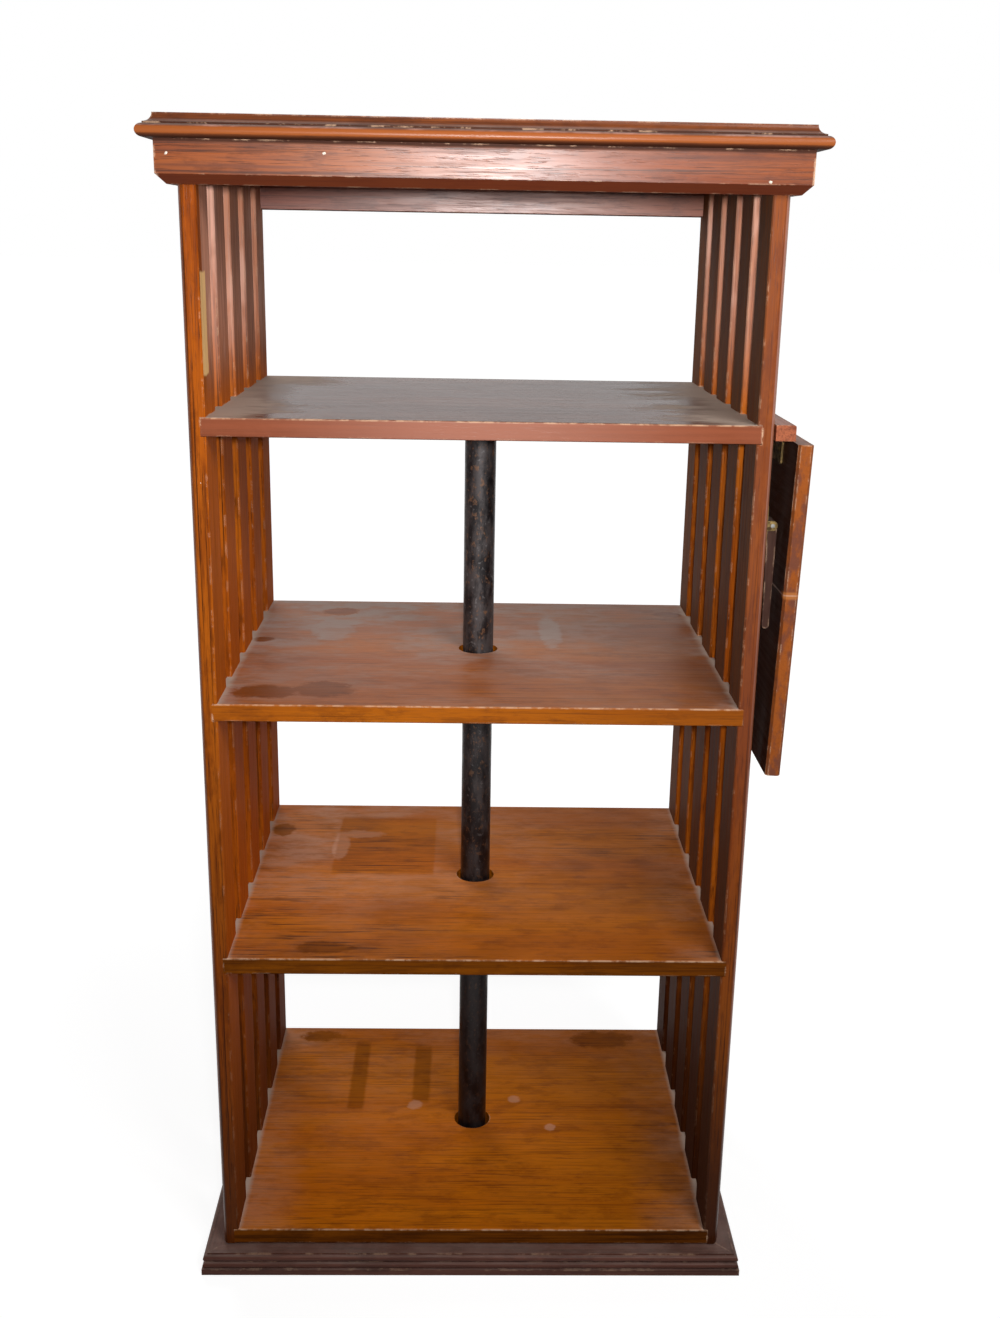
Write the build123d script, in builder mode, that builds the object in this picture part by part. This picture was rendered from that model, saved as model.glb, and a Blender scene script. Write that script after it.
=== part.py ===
from build123d import *
import os
from math import cos, radians, sin

# A revolving bookcase: an open, slatted case that hangs on a fixed tube post and turns about it,
# with a drop leaf on its right side. Millimetres, +Z up, the front faces -Y.
# The origin lies on the floor, on the axis of the post.

# Slatted sides
case_width = 554.0
slat_width = 56.4
slat_gap = 34.6
slat_count = 5
slat_thickness = 19.0
slat_arris = 1.2
nosing_width = 7.0
nosing_depth = 24.0

# Boards that enter the slats in housings, and the clear height of each tier
board_thickness = 18.0
board_arris = 1.5
housing_depth = 5.0
bottom_tier = 315.0
lower_tier = 260.5
middle_tier = 262.5
top_tier = 243.5

# Frieze nailed round the head of the case
frieze_height = 38.0
frieze_thickness = 14.0
frieze_chamfer = 8.5

# Rail across the back, between the back stiles and under the top
rail_height = 52.0
rail_thickness = 16.0

# Top board, moulded from below with a bead, a quirk and a cove
top_thickness = 21.0
top_overhang = 13.0
top_bead_height = 11.5
top_quirk = 1.5
top_mould_width = 13.0
top_cove_hollow = 1.6

# Plinth: a panel framed by mitred mouldings with a ledge, two beads and a fascia
plinth_height = 24.0
plinth_overhang = 20.0
plinth_rail_width = 70.0
plinth_panel_thickness = 10.0
plinth_ledge = 14.0
plinth_bead_height = 7.0
plinth_quirk = 1.5
plinth_fascia_step = 1.0
running_gap = 2.0

# Tube post in its floor flange, a square plate with clipped corners as the other plates are
post_diameter = 34.0
post_wall = 3.4
post_hole_clearance = 5.0
flange_side = 78.0
flange_thickness = 5.0
flange_hub_wall = 6.0
flange_screw_ring = 37.0
plate_corner = 8.0
screwed_fit = 0.1

# Guide plate under the bottom board, which keeps the case upright round the post
guide_side = 72.0
guide_thickness = 4.0
guide_room = 3.0
guide_screw_ring = 34.0

# Pivot at the head of the post, under the upper shelf
socket_flange_side = 62.0
socket_flange_thickness = 5.0
socket_hub_radius = 16.0
socket_height = 21.0
socket_roof = 7.0
socket_screw_ring = 29.0
journal_radius = 8.0
plug_head_thickness = 4.0
plug_stem_length = 30.0
pivot_gap = 0.8
running_fit = 0.05

# Drop leaf and the cleat that carries it
cleat_width = 19.0
cleat_thickness = 15.0
cleat_end_setback = 5.0
cleat_arris = 2.0
leaf_length = 334.0
leaf_upper_height = 147.0
leaf_edge_gap = 1.6
leaf_chamfer = 2.5
leaf_tilt = 1.5

# Back-flap hinges
hinge_length = 50.0
hinge_spacing = 230.0
hinge_knuckles = 3
hinge_knuckle_gap = 0.4
hinge_knuckle_radius = 2.2
hinge_pin_radius = 1.2
hinge_standoff = 2.5
hinge_plate_thickness = 1.6
hinge_cleat_reach = 17.0
hinge_leaf_reach = 28.0
hinge_clearance = 0.4

# Props that swing out under the raised leaf
prop_drop = 85.0
prop_length = 104.0
prop_head_thickness = 9.5
prop_tip_thickness = 7.0
prop_width = 20.0
prop_pin_radius = 2.0
prop_side_gap = 0.4
bracket_thickness = 2.0
bracket_height = 46.0
bracket_corner = 4.0

# Countersunk wood screws, drawn with few sides; their sizes are radii across the flats
screw_sides = 6
screw_land = 0.15
plate_screw_head = 4.5
plate_screw_shank = 2.2
plate_screw_length = 13.0
hinge_screw_head = 2.6
hinge_screw_shank = 1.2
hinge_screw_length = 9.0
screw_hole_fit = 0.1
screw_cover = 6.0
plate_screw_count = 4

overrun = 2.0

# Levels and reaches that follow from the sizes above
slat_pitch = slat_width + slat_gap
case_depth = slat_count * slat_width + (slat_count - 1) * slat_gap
half_width = case_width / 2
half_depth = case_depth / 2
board_width = case_width - 2 * (slat_thickness - housing_depth)
case_bottom = plinth_height + running_gap
lower_shelf_level = case_bottom + board_thickness + bottom_tier
middle_shelf_level = lower_shelf_level + board_thickness + lower_tier
upper_shelf_level = middle_shelf_level + board_thickness + middle_tier
top_level = upper_shelf_level + board_thickness + top_tier
slat_length = top_level - case_bottom
board_levels = {
    "bottom_board": case_bottom,
    "lower_shelf": lower_shelf_level,
    "middle_shelf": middle_shelf_level,
    "upper_shelf": upper_shelf_level,
}
post_radius = post_diameter / 2
post_hole_radius = post_radius + post_hole_clearance
flange_top = case_bottom - guide_thickness - guide_room
guide_level = case_bottom - guide_thickness
socket_level = upper_shelf_level - socket_height
plug_head_top = socket_level - pivot_gap
post_top = plug_head_top - plug_head_thickness
socket_ceiling = upper_shelf_level - socket_roof
journal_top = socket_ceiling - running_fit

# The cleat's top is level with the upper shelf, and the hinge pins lie at its lower outer corner
cleat_depth = case_depth - 2 * cleat_end_setback
cleat_face = half_width + cleat_width
cleat_bottom = upper_shelf_level + board_thickness - cleat_thickness
leaf_thickness = cleat_thickness
pin_x = cleat_face + leaf_edge_gap / 2
pin_z = cleat_bottom - hinge_standoff
leaf_up = (sin(radians(leaf_tilt)), 0, cos(radians(leaf_tilt)))
leaf_out = (cos(radians(leaf_tilt)), 0, -sin(radians(leaf_tilt)))
leaf_down = (-sin(radians(leaf_tilt)), 0, -cos(radians(leaf_tilt)))
leaf_plane = Plane(origin=(pin_x, 0, pin_z), x_dir=leaf_out, z_dir=leaf_up)
cleat_hinge_plane = Plane(origin=(pin_x, 0, pin_z), x_dir=(-1, 0, 0), z_dir=(0, 1, 0))
leaf_hinge_plane = Plane(origin=(pin_x, 0, pin_z), x_dir=leaf_down, z_dir=(0, -1, 0))
hinge_places = (-hinge_spacing / 2, hinge_spacing / 2)
hinge_root = hinge_knuckle_radius + hinge_clearance
knuckle_length = (hinge_length - (hinge_knuckles - 1) * hinge_knuckle_gap) / hinge_knuckles

# The props stand on the flat of the end stiles, just inside their rounded arrises
bracket_width = prop_width + 2 * (prop_side_gap + bracket_thickness)
prop_place = half_depth - nosing_depth - bracket_width / 2
prop_places = (-prop_place, prop_place)
prop_x = half_width + bracket_thickness + prop_side_gap + prop_head_thickness / 2
prop_z = cleat_bottom - prop_drop

os.makedirs("parts", exist_ok=True)


def keep(piece, name):
    """Labels a finished piece and writes it to its own file."""
    piece.part.label = name
    export_step(piece.part, f"parts/{name}.step")


def screw_solid(seat, head, shank, length, fit=0):
    """A countersunk screw whose head lies flush in the seat plane, or with a fit the hole for it."""
    head_depth = head - shank + screw_land
    with BuildPart() as screw:
        with BuildSketch(seat):
            RegularPolygon(head + fit, screw_sides, major_radius=False)
        extrude(amount=-head_depth)
        chamfer(screw.faces().sort_by(Axis(seat.origin, seat.z_dir))[0].edges(), head - shank)
        with BuildSketch(seat.offset(-head_depth)):
            RegularPolygon(shank + fit, screw_sides, major_radius=False)
        extrude(amount=head_depth - length - fit)
    return screw.part


def ring_seats(ring, level, facing):
    """Screw seats evenly round the post's axis, facing up (1) or down (-1)."""
    places = PolarLocations(ring, plate_screw_count, start_angle=180 / plate_screw_count)
    return [
        Plane(origin=(place.position.X, place.position.Y, level), x_dir=(1, 0, 0), z_dir=(0, 0, facing))
        for place in places
    ]


flange_seats = ring_seats(flange_screw_ring, plinth_panel_thickness + flange_thickness, 1)
socket_seats = ring_seats(socket_screw_ring, upper_shelf_level - socket_flange_thickness, -1)
guide_seats = ring_seats(guide_screw_ring, guide_level, -1)
plate_screw = (plate_screw_head, plate_screw_shank, plate_screw_length)
hinge_screw = (hinge_screw_head, hinge_screw_shank, hinge_screw_length)

# The cleat is screwed to every second slat, from its outer face
cleat_screw = (plate_screw_head, plate_screw_shank, cleat_width + slat_thickness - screw_cover)
cleat_seats = [
    Plane(
        origin=(cleat_face, (row - (slat_count - 1) / 2) * slat_pitch, cleat_bottom + cleat_thickness / 2),
        x_dir=(0, 1, 0),
        z_dir=(1, 0, 0),
    )
    for row in range(0, slat_count, 2)
]


def hinge_seats(section, reach):
    """Two screw seats on each hinge plate, on the face away from the wood."""
    across = (hinge_root + reach) / 2
    height = hinge_standoff - hinge_plate_thickness
    spots = [place + side * hinge_length / 4 for place in hinge_places for side in (-1, 1)]
    return [
        Plane(
            origin=section.from_local_coords((across, height, spot)),
            x_dir=section.z_dir,
            z_dir=-section.y_dir,
        )
        for spot in spots
    ]


cleat_hinge_seats = hinge_seats(cleat_hinge_plane, hinge_cleat_reach)
leaf_hinge_seats = hinge_seats(leaf_hinge_plane, hinge_leaf_reach)

# Each prop bracket has a screw above and a screw below its ears
bracket_ear_height = prop_head_thickness + bracket_thickness
bracket_screw_rise = (bracket_height / 2 + bracket_ear_height / 2) / 2
bracket_seats = [
    Plane(
        origin=(half_width + bracket_thickness, place, prop_z + side * bracket_screw_rise),
        x_dir=(0, 1, 0),
        z_dir=(1, 0, 0),
    )
    for place in prop_places
    for side in (-1, 1)
]


def screws(name, seats, size):
    """One node of identical screws."""
    with BuildPart() as group:
        for seat in seats:
            add(screw_solid(seat, *size))
    keep(group, name)


def upright(name, left, row):
    """A slat, or at either end a stile whose outer arris is a flat elliptical nosing."""
    rank = min(row, slat_count - 1 - row)
    middle = (rank - (slat_count - 1) / 2) * slat_pitch
    front = middle - slat_width / 2
    back = middle + slat_width / 2
    inner = half_width - slat_thickness
    with BuildPart() as piece:
        with BuildSketch(Plane.XY.offset(case_bottom)) as outline:
            if rank == 0:
                with BuildLine():
                    Line((inner, front), (half_width - nosing_width, front))
                    EllipticalCenterArc(
                        (half_width - nosing_width, front + nosing_depth),
                        nosing_width,
                        nosing_depth,
                        start_angle=270,
                        arc_size=90,
                    )
                    Polyline((half_width, front + nosing_depth), (half_width, back), (inner, back), (inner, front))
                make_face()
                chamfer(outline.vertices().group_by(Axis.Y)[-1], slat_arris)
                chamfer(outline.vertices().group_by(Axis.X)[0].sort_by(Axis.Y)[0], slat_arris)
            else:
                with Locations((half_width - slat_thickness / 2, middle)):
                    Rectangle(slat_thickness, slat_width)
                chamfer(outline.vertices(), slat_arris)
        extrude(amount=slat_length)
        for level in board_levels.values():
            with BuildSketch(Plane.XY.offset(level)):
                with Locations((inner + (housing_depth - overrun) / 2, middle)):
                    Rectangle(housing_depth + overrun, slat_width + 2 * overrun)
            extrude(amount=board_thickness, mode=Mode.SUBTRACT)
        if row > rank:
            mirror(about=Plane.XZ, mode=Mode.REPLACE)
        if left:
            mirror(about=Plane.YZ, mode=Mode.REPLACE)
        if not left:
            for seat in cleat_seats:
                add(screw_solid(seat, *cleat_screw, screw_hole_fit), mode=Mode.SUBTRACT)
            for seat in bracket_seats:
                add(screw_solid(seat, *hinge_screw, screw_hole_fit), mode=Mode.SUBTRACT)
    keep(piece, name)


def upright_name(row):
    """The end uprights are stiles, the others slats counted from the front."""
    if row == 0:
        return "front_stile"
    if row == slat_count - 1:
        return "back_stile"
    return f"slat_{row}"


for row in range(slat_count):
    upright(f"left_{upright_name(row)}", True, row)
    upright(f"right_{upright_name(row)}", False, row)


def board(name, level):
    """A shelf with eased front and back edges; those below the pivot let the post through."""
    with BuildPart() as piece:
        with BuildSketch(Plane.YZ) as section:
            with Locations((0, level + board_thickness / 2)):
                Rectangle(case_depth, board_thickness)
            fillet(section.vertices(), board_arris)
        extrude(amount=board_width / 2, both=True)
        if level < upper_shelf_level:
            with BuildSketch(Plane.XY.offset(level)):
                Circle(post_hole_radius)
            extrude(amount=board_thickness, mode=Mode.SUBTRACT)
        for seat in socket_seats + guide_seats:
            add(screw_solid(seat, *plate_screw, screw_hole_fit), mode=Mode.SUBTRACT)
    keep(piece, name)


for board_name, board_level in board_levels.items():
    board(board_name, board_level)


def frieze_section(plane, face):
    """A flat board against the case's face, chamfered along its lower outer edge."""
    outer = face + frieze_thickness
    bottom = top_level - frieze_height
    with BuildSketch(plane) as section:
        with BuildLine():
            Polyline(
                (face, bottom),
                (outer - frieze_chamfer, bottom),
                (outer, bottom + frieze_chamfer),
                (outer, top_level),
                (face, top_level),
                close=True,
            )
        make_face()
    return section.sketch


def plinth_section(plane, face):
    """From the top: a flat ledge, a quirk, two half-round beads with a quirk between, and a fascia."""
    outer = face + plinth_overhang
    inner = outer - plinth_rail_width
    ledge = face + plinth_ledge
    bead = plinth_bead_height / 2
    upper_top = plinth_height - plinth_quirk
    upper_root = ledge + plinth_quirk / 2
    upper_foot = upper_top - plinth_bead_height
    lower_top = upper_foot - plinth_quirk
    lower_root = outer - plinth_fascia_step - bead
    lower_foot = lower_top - plinth_bead_height
    with BuildSketch(plane) as section:
        with BuildLine():
            Polyline((outer, lower_foot), (outer, 0), (inner, 0), (inner, plinth_height), (ledge, plinth_height))
            Polyline((ledge, plinth_height), (ledge, upper_top), (upper_root, upper_top))
            ThreePointArc((upper_root, upper_top), (upper_root + bead, upper_top - bead), (upper_root, upper_foot))
            Polyline((upper_root, upper_foot), (upper_root, lower_top), (lower_root, lower_top))
            ThreePointArc((lower_root, lower_top), (lower_root + bead, lower_top - bead), (lower_root, lower_foot))
            Line((lower_root, lower_foot), (outer, lower_foot))
        make_face()
    return section.sketch


def mitred_rail(name, outward, section, inner_offset, outer_offset, level, height):
    """One side of a four-sided frame round the case, cut at 45 degrees at both ends."""
    lateral = (outward[1], -outward[0], 0)
    face, end = (half_width, half_depth) if outward[0] else (half_depth, half_width)
    plan = Plane(origin=(0, 0, level), x_dir=lateral, z_dir=(0, 0, 1))
    upright_plane = Plane(origin=(0, 0, 0), x_dir=(*outward, 0), z_dir=lateral)
    short = end + inner_offset
    long = end + outer_offset
    with BuildPart() as rail:
        with BuildSketch(plan):
            with BuildLine():
                Polyline(
                    (-short, face + inner_offset),
                    (short, face + inner_offset),
                    (long, face + outer_offset),
                    (-long, face + outer_offset),
                    close=True,
                )
            make_face()
        extrude(amount=height)
        extrude(section(upright_plane, face), amount=long, both=True, mode=Mode.INTERSECT)
    keep(rail, name)


frame_sides = {"front": (0, -1), "back": (0, 1), "left": (-1, 0), "right": (1, 0)}
plinth_inner_offset = plinth_overhang - plinth_rail_width
for side_name, direction in frame_sides.items():
    mitred_rail(
        f"frieze_{side_name}",
        direction,
        frieze_section,
        0,
        frieze_thickness,
        top_level - frieze_height,
        frieze_height,
    )
    mitred_rail(
        f"plinth_{side_name}",
        direction,
        plinth_section,
        plinth_inner_offset,
        plinth_overhang,
        0,
        plinth_height,
    )


def top_section(plane, reach):
    """Half-round bead at the bottom, a small upright quirk, and a cove up to the flat."""
    bead = top_bead_height / 2
    root = reach - bead
    quirk_level = top_level + top_bead_height
    cove_level = quirk_level + top_quirk
    flat_level = top_level + top_thickness
    flat_edge = reach - top_mould_width
    hollow = ((root + flat_edge) / 2 - top_cove_hollow, (cove_level + flat_level) / 2 - top_cove_hollow)
    with BuildSketch(plane) as section:
        with BuildLine():
            Line((0, top_level), (root, top_level))
            ThreePointArc((root, top_level), (reach, top_level + bead), (root, quirk_level))
            Line((root, quirk_level), (root, cove_level))
            ThreePointArc((root, cove_level), hollow, (flat_edge, flat_level))
            Line((flat_edge, flat_level), (0, flat_level))
            mirror(about=Plane.YZ)
        make_face()
    return section.sketch


top_reach_x = half_width + frieze_thickness + top_overhang
top_reach_y = half_depth + frieze_thickness + top_overhang
with BuildPart() as top_board:
    extrude(top_section(Plane.XZ, top_reach_x), amount=top_reach_y, both=True)
    extrude(top_section(Plane.YZ, top_reach_y), amount=top_reach_x, both=True, mode=Mode.INTERSECT)
keep(top_board, "top_board")

with BuildPart() as back_rail:
    with BuildSketch(Plane.YZ) as rail_outline:
        with Locations((half_depth - rail_thickness / 2, top_level - rail_height / 2)):
            Rectangle(rail_thickness, rail_height)
        chamfer(rail_outline.vertices().group_by(Axis.Y)[0], slat_arris)
    extrude(amount=half_width - slat_thickness, both=True)
keep(back_rail, "back_rail")

with BuildPart() as plinth_panel:
    with BuildSketch():
        Rectangle(2 * (half_width + plinth_inner_offset), 2 * (half_depth + plinth_inner_offset))
    extrude(amount=plinth_panel_thickness)
    for seat in flange_seats:
        add(screw_solid(seat, *plate_screw, screw_hole_fit), mode=Mode.SUBTRACT)
keep(plinth_panel, "plinth_panel")

# Post and its foot
with BuildPart() as floor_flange:
    with BuildSketch(Plane.XY.offset(plinth_panel_thickness)) as flange_outline:
        Rectangle(flange_side, flange_side)
        chamfer(flange_outline.vertices(), plate_corner)
    extrude(amount=flange_thickness)
    with BuildSketch(Plane.XY.offset(plinth_panel_thickness)):
        Circle(post_radius + flange_hub_wall)
    extrude(amount=flange_top - plinth_panel_thickness)
    with BuildSketch(Plane.XY.offset(plinth_panel_thickness)):
        Circle(post_radius + screwed_fit)
    extrude(amount=flange_top - plinth_panel_thickness, mode=Mode.SUBTRACT)
    for seat in flange_seats:
        add(screw_solid(seat, *plate_screw, screw_hole_fit), mode=Mode.SUBTRACT)
keep(floor_flange, "floor_flange")

with BuildPart() as post:
    with BuildSketch(Plane.XY.offset(plinth_panel_thickness)):
        Circle(post_radius)
        Circle(post_radius - post_wall, mode=Mode.SUBTRACT)
    extrude(amount=post_top - plinth_panel_thickness)
keep(post, "post")

# Pivot: a turned plug in the head of the post, whose journal carries the socket over it
with BuildPart() as pivot_plug:
    with BuildSketch(Plane.XZ):
        with BuildLine():
            Polyline(
                (0, journal_top),
                (journal_radius, journal_top),
                (journal_radius, plug_head_top),
                (post_radius, plug_head_top),
                (post_radius, post_top),
                (post_radius - post_wall - screwed_fit, post_top),
                (post_radius - post_wall - screwed_fit, post_top - plug_stem_length),
                (0, post_top - plug_stem_length),
                close=True,
            )
        make_face()
    revolve(axis=Axis.Z)
keep(pivot_plug, "pivot_plug")

with BuildPart() as pivot_socket:
    with BuildSketch(Plane.XY.offset(upper_shelf_level)) as socket_outline:
        Rectangle(socket_flange_side, socket_flange_side)
        chamfer(socket_outline.vertices(), plate_corner)
    extrude(amount=-socket_flange_thickness)
    with BuildSketch(Plane.XY.offset(socket_level)):
        Circle(socket_hub_radius)
    extrude(amount=socket_height - socket_flange_thickness)
    with BuildSketch(Plane.XY.offset(socket_level)):
        Circle(journal_radius + running_fit)
    extrude(amount=socket_ceiling - socket_level, mode=Mode.SUBTRACT)
    for seat in socket_seats:
        add(screw_solid(seat, *plate_screw, screw_hole_fit), mode=Mode.SUBTRACT)
keep(pivot_socket, "pivot_socket")

with BuildPart() as guide_plate:
    with BuildSketch(Plane.XY.offset(guide_level)) as guide_outline:
        Rectangle(guide_side, guide_side)
        chamfer(guide_outline.vertices(), plate_corner)
        Circle(post_radius + running_fit, mode=Mode.SUBTRACT)
    extrude(amount=guide_thickness)
    for seat in guide_seats:
        add(screw_solid(seat, *plate_screw, screw_hole_fit), mode=Mode.SUBTRACT)
keep(guide_plate, "guide_plate")

screws("flange_screws", flange_seats, plate_screw)
screws("socket_screws", socket_seats, plate_screw)
screws("guide_screws", guide_seats, plate_screw)

# Cleat along the right side, level with the upper shelf
with BuildPart() as leaf_cleat:
    with BuildSketch(Plane.XZ) as cleat_outline:
        with Locations((half_width + cleat_width / 2, cleat_bottom + cleat_thickness / 2)):
            Rectangle(cleat_width, cleat_thickness)
        fillet(cleat_outline.vertices().group_by(Axis.Y)[-1].sort_by(Axis.X)[-1], cleat_arris)
    extrude(amount=cleat_depth / 2, both=True)
    for seat in cleat_seats:
        add(screw_solid(seat, *cleat_screw, screw_hole_fit), mode=Mode.SUBTRACT)
    for seat in cleat_hinge_seats:
        add(screw_solid(seat, *hinge_screw, screw_hole_fit), mode=Mode.SUBTRACT)
keep(leaf_cleat, "leaf_cleat")
screws("cleat_screws", cleat_seats, cleat_screw)


def leaf_board(name, top, height):
    """One board of the leaf, with its long inner and outer edges chamfered at both ends."""
    with BuildPart() as piece:
        with BuildSketch(leaf_plane.offset(-leaf_edge_gap / 2 - top - height)) as outline:
            with Locations((hinge_standoff + leaf_thickness / 2, 0)):
                Rectangle(leaf_thickness, cleat_depth)
            chamfer(outline.vertices(), leaf_chamfer)
        extrude(amount=height)
        for seat in leaf_hinge_seats:
            add(screw_solid(seat, *hinge_screw, screw_hole_fit), mode=Mode.SUBTRACT)
    keep(piece, name)


leaf_board("leaf_upper_board", 0, leaf_upper_height)
leaf_board("leaf_lower_board", leaf_upper_height, leaf_length - leaf_upper_height)


def hinge_half(name, section, reach, own, seats):
    """The plates of both hinges on one side of the pin, with their share of the knuckles."""
    plate_middle = hinge_standoff - hinge_plate_thickness / 2
    with BuildPart() as half:
        for place in hinge_places:
            start = place - hinge_length / 2
            with BuildSketch(section.offset(start)):
                with Locations(((hinge_root + reach) / 2, plate_middle)):
                    Rectangle(reach - hinge_root, hinge_plate_thickness)
            extrude(amount=hinge_length)
            for number in own:
                with BuildSketch(section.offset(start + number * (knuckle_length + hinge_knuckle_gap))):
                    with Locations((hinge_root / 2, plate_middle)):
                        Rectangle(hinge_root, hinge_plate_thickness)
                    Circle(hinge_knuckle_radius)
                    Circle(hinge_pin_radius + running_fit, mode=Mode.SUBTRACT)
                extrude(amount=knuckle_length)
        for seat in seats:
            add(screw_solid(seat, *hinge_screw, screw_hole_fit), mode=Mode.SUBTRACT)
    keep(half, name)


outer_knuckles = range(0, hinge_knuckles, 2)
inner_knuckles = range(1, hinge_knuckles, 2)
hinge_half("hinge_cleat_plates", cleat_hinge_plane, hinge_cleat_reach, outer_knuckles, cleat_hinge_seats)
hinge_half("hinge_leaf_plates", leaf_hinge_plane, hinge_leaf_reach, inner_knuckles, leaf_hinge_seats)
screws("hinge_cleat_screws", cleat_hinge_seats, hinge_screw)
screws("hinge_leaf_screws", leaf_hinge_seats, hinge_screw)

with BuildPart() as hinge_pins:
    for place in hinge_places:
        with BuildSketch(cleat_hinge_plane.offset(place - hinge_length / 2)):
            Circle(hinge_pin_radius)
        extrude(amount=hinge_length)
keep(hinge_pins, "hinge_pins")

# Props: tapered arms that hang from pins in eared brackets on the end stiles
with BuildPart() as prop_brackets:
    for place in prop_places:
        with BuildSketch(Plane.YZ.offset(half_width)) as bracket_outline:
            with Locations((place, prop_z)):
                Rectangle(bracket_width, bracket_height)
            chamfer(bracket_outline.vertices(), bracket_corner)
        extrude(amount=bracket_thickness)
        for side in (-1, 1):
            ear = place + side * (prop_width / 2 + prop_side_gap + bracket_thickness / 2)
            with BuildSketch(Plane.XZ.offset(-ear - bracket_thickness / 2)):
                with Locations(((half_width + prop_x) / 2, prop_z)):
                    Rectangle(prop_x - half_width, prop_head_thickness)
                with Locations((prop_x, prop_z)):
                    Circle(prop_head_thickness / 2)
                    Circle(prop_pin_radius + running_fit, mode=Mode.SUBTRACT)
            extrude(amount=bracket_thickness)
    for seat in bracket_seats:
        add(screw_solid(seat, *hinge_screw, screw_hole_fit), mode=Mode.SUBTRACT)
keep(prop_brackets, "prop_brackets")
screws("bracket_screws", bracket_seats, hinge_screw)

with BuildPart() as prop_pins:
    for place in prop_places:
        with BuildSketch(Plane.XZ.offset(-place - bracket_width / 2)):
            with Locations((prop_x, prop_z)):
                Circle(prop_pin_radius)
        extrude(amount=bracket_width)
keep(prop_pins, "prop_pins")

with BuildPart() as prop_arms:
    for place in prop_places:
        with BuildSketch(Plane.XZ.offset(-place - prop_width / 2)):
            with Locations((prop_x, prop_z)):
                Circle(prop_head_thickness / 2)
            with BuildLine():
                Polyline(
                    (prop_x - prop_head_thickness / 2, prop_z),
                    (prop_x - prop_tip_thickness / 2, prop_z - prop_length + prop_tip_thickness / 2),
                    (prop_x + prop_tip_thickness / 2, prop_z - prop_length + prop_tip_thickness / 2),
                    (prop_x + prop_head_thickness / 2, prop_z),
                    close=True,
                )
            make_face()
            with Locations((prop_x, prop_z - prop_length + prop_tip_thickness / 2)):
                Circle(prop_tip_thickness / 2)
            with Locations((prop_x, prop_z)):
                Circle(prop_pin_radius + running_fit, mode=Mode.SUBTRACT)
        extrude(amount=prop_width)
keep(prop_arms, "prop_arms")
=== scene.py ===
import math
from collections import namedtuple

import bmesh
import bpy
from mathutils import Matrix, Vector


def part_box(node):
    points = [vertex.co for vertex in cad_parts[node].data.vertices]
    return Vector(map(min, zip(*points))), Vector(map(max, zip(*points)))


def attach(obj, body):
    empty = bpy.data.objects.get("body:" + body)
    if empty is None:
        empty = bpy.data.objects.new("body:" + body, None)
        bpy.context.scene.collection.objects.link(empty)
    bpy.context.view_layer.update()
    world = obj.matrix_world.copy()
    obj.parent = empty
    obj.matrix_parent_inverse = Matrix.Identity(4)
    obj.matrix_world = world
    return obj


# The looks of a worn revolving bookcase in red-brown varnished wood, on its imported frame.
# Lengths are metres, angles degrees, colours linear.
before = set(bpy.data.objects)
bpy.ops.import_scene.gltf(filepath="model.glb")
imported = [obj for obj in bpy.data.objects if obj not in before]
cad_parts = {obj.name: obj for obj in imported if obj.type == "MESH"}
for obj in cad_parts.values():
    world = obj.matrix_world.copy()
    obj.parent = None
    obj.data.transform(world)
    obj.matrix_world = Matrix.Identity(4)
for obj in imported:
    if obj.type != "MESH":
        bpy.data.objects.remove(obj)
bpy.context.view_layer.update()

# Camera at the photograph's viewing angle
PHOTO_HEIGHT_PX = 1318
FOCAL_PX = 1426.8
SENSOR_MM = 36.0
CAMERA_PLACE = Vector((-0.0113, -1.5502, 1.1009))
CAMERA_YAW = 1.343
CAMERA_PITCH = 16.452
CAMERA_ROLL = 1.006

# Lights: a key close by the camera, a fill above it, and one behind that reflections leave out
Lamp = namedtuple("Lamp", "place aim size watts spread reflected")
LAMPS = {
    "key": Lamp((0.03, -1.57, 1.14), (0.0, 0.0, 1.20), 0.07, 6.9, 100.0, True),
    "fill": Lamp((0.85, -1.6, 1.9), (0.0, 0.0, 0.45), 0.9, 15.0, 150.0, True),
    "back": Lamp((-0.7, 1.9, 1.9), (0.0, 0.2, 0.6), 1.0, 13.0, 150.0, False),
}
SKY_LEVEL = 0.11
SKY_SEEN = 1.0

# Floor: its glow near the object, where it keeps the shadow, and far off, where it is white
FLOOR_REACH = 60.0
FLOOR_COLOUR = (0.36, 0.36, 0.36, 1)
FLOOR_NEAR = 0.5
FLOOR_FAR = 2.0
FLOOR_GLOW_NEAR = 0.84
FLOOR_GLOW_FAR = 1.0

# Woods: shade, body and light of the grain
CASE_TONES = ((0.150, 0.026, 0.0020), (0.330, 0.068, 0.0040), (0.430, 0.105, 0.0060))
FRIEZE_TONES = ((0.080, 0.015, 0.0030), (0.210, 0.046, 0.0110), (0.290, 0.074, 0.0150))
TOP_TONES = ((0.045, 0.009, 0.0020), (0.105, 0.024, 0.0050), (0.160, 0.040, 0.0080))
UPPER_TONES = ((0.070, 0.018, 0.0080), (0.130, 0.042, 0.0240), (0.180, 0.062, 0.0340))
RAIL_TONES = ((0.110, 0.024, 0.0120), (0.260, 0.062, 0.0300), (0.340, 0.095, 0.0400))
MIDDLE_TONES = ((0.210, 0.045, 0.0020), (0.420, 0.098, 0.0030), (0.510, 0.135, 0.0050))
SHELF_TONES = ((0.270, 0.060, 0.0010), (0.540, 0.132, 0.0020), (0.640, 0.178, 0.0040))
PLINTH_TONES = ((0.036, 0.011, 0.0075), (0.088, 0.029, 0.019), (0.130, 0.047, 0.031))
LEAF_TONES = ((0.070, 0.015, 0.0050), (0.170, 0.042, 0.0100), (0.240, 0.066, 0.0140))
PROP_TONES = ((0.016, 0.006, 0.0040), (0.036, 0.014, 0.009), (0.060, 0.026, 0.018))

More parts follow.
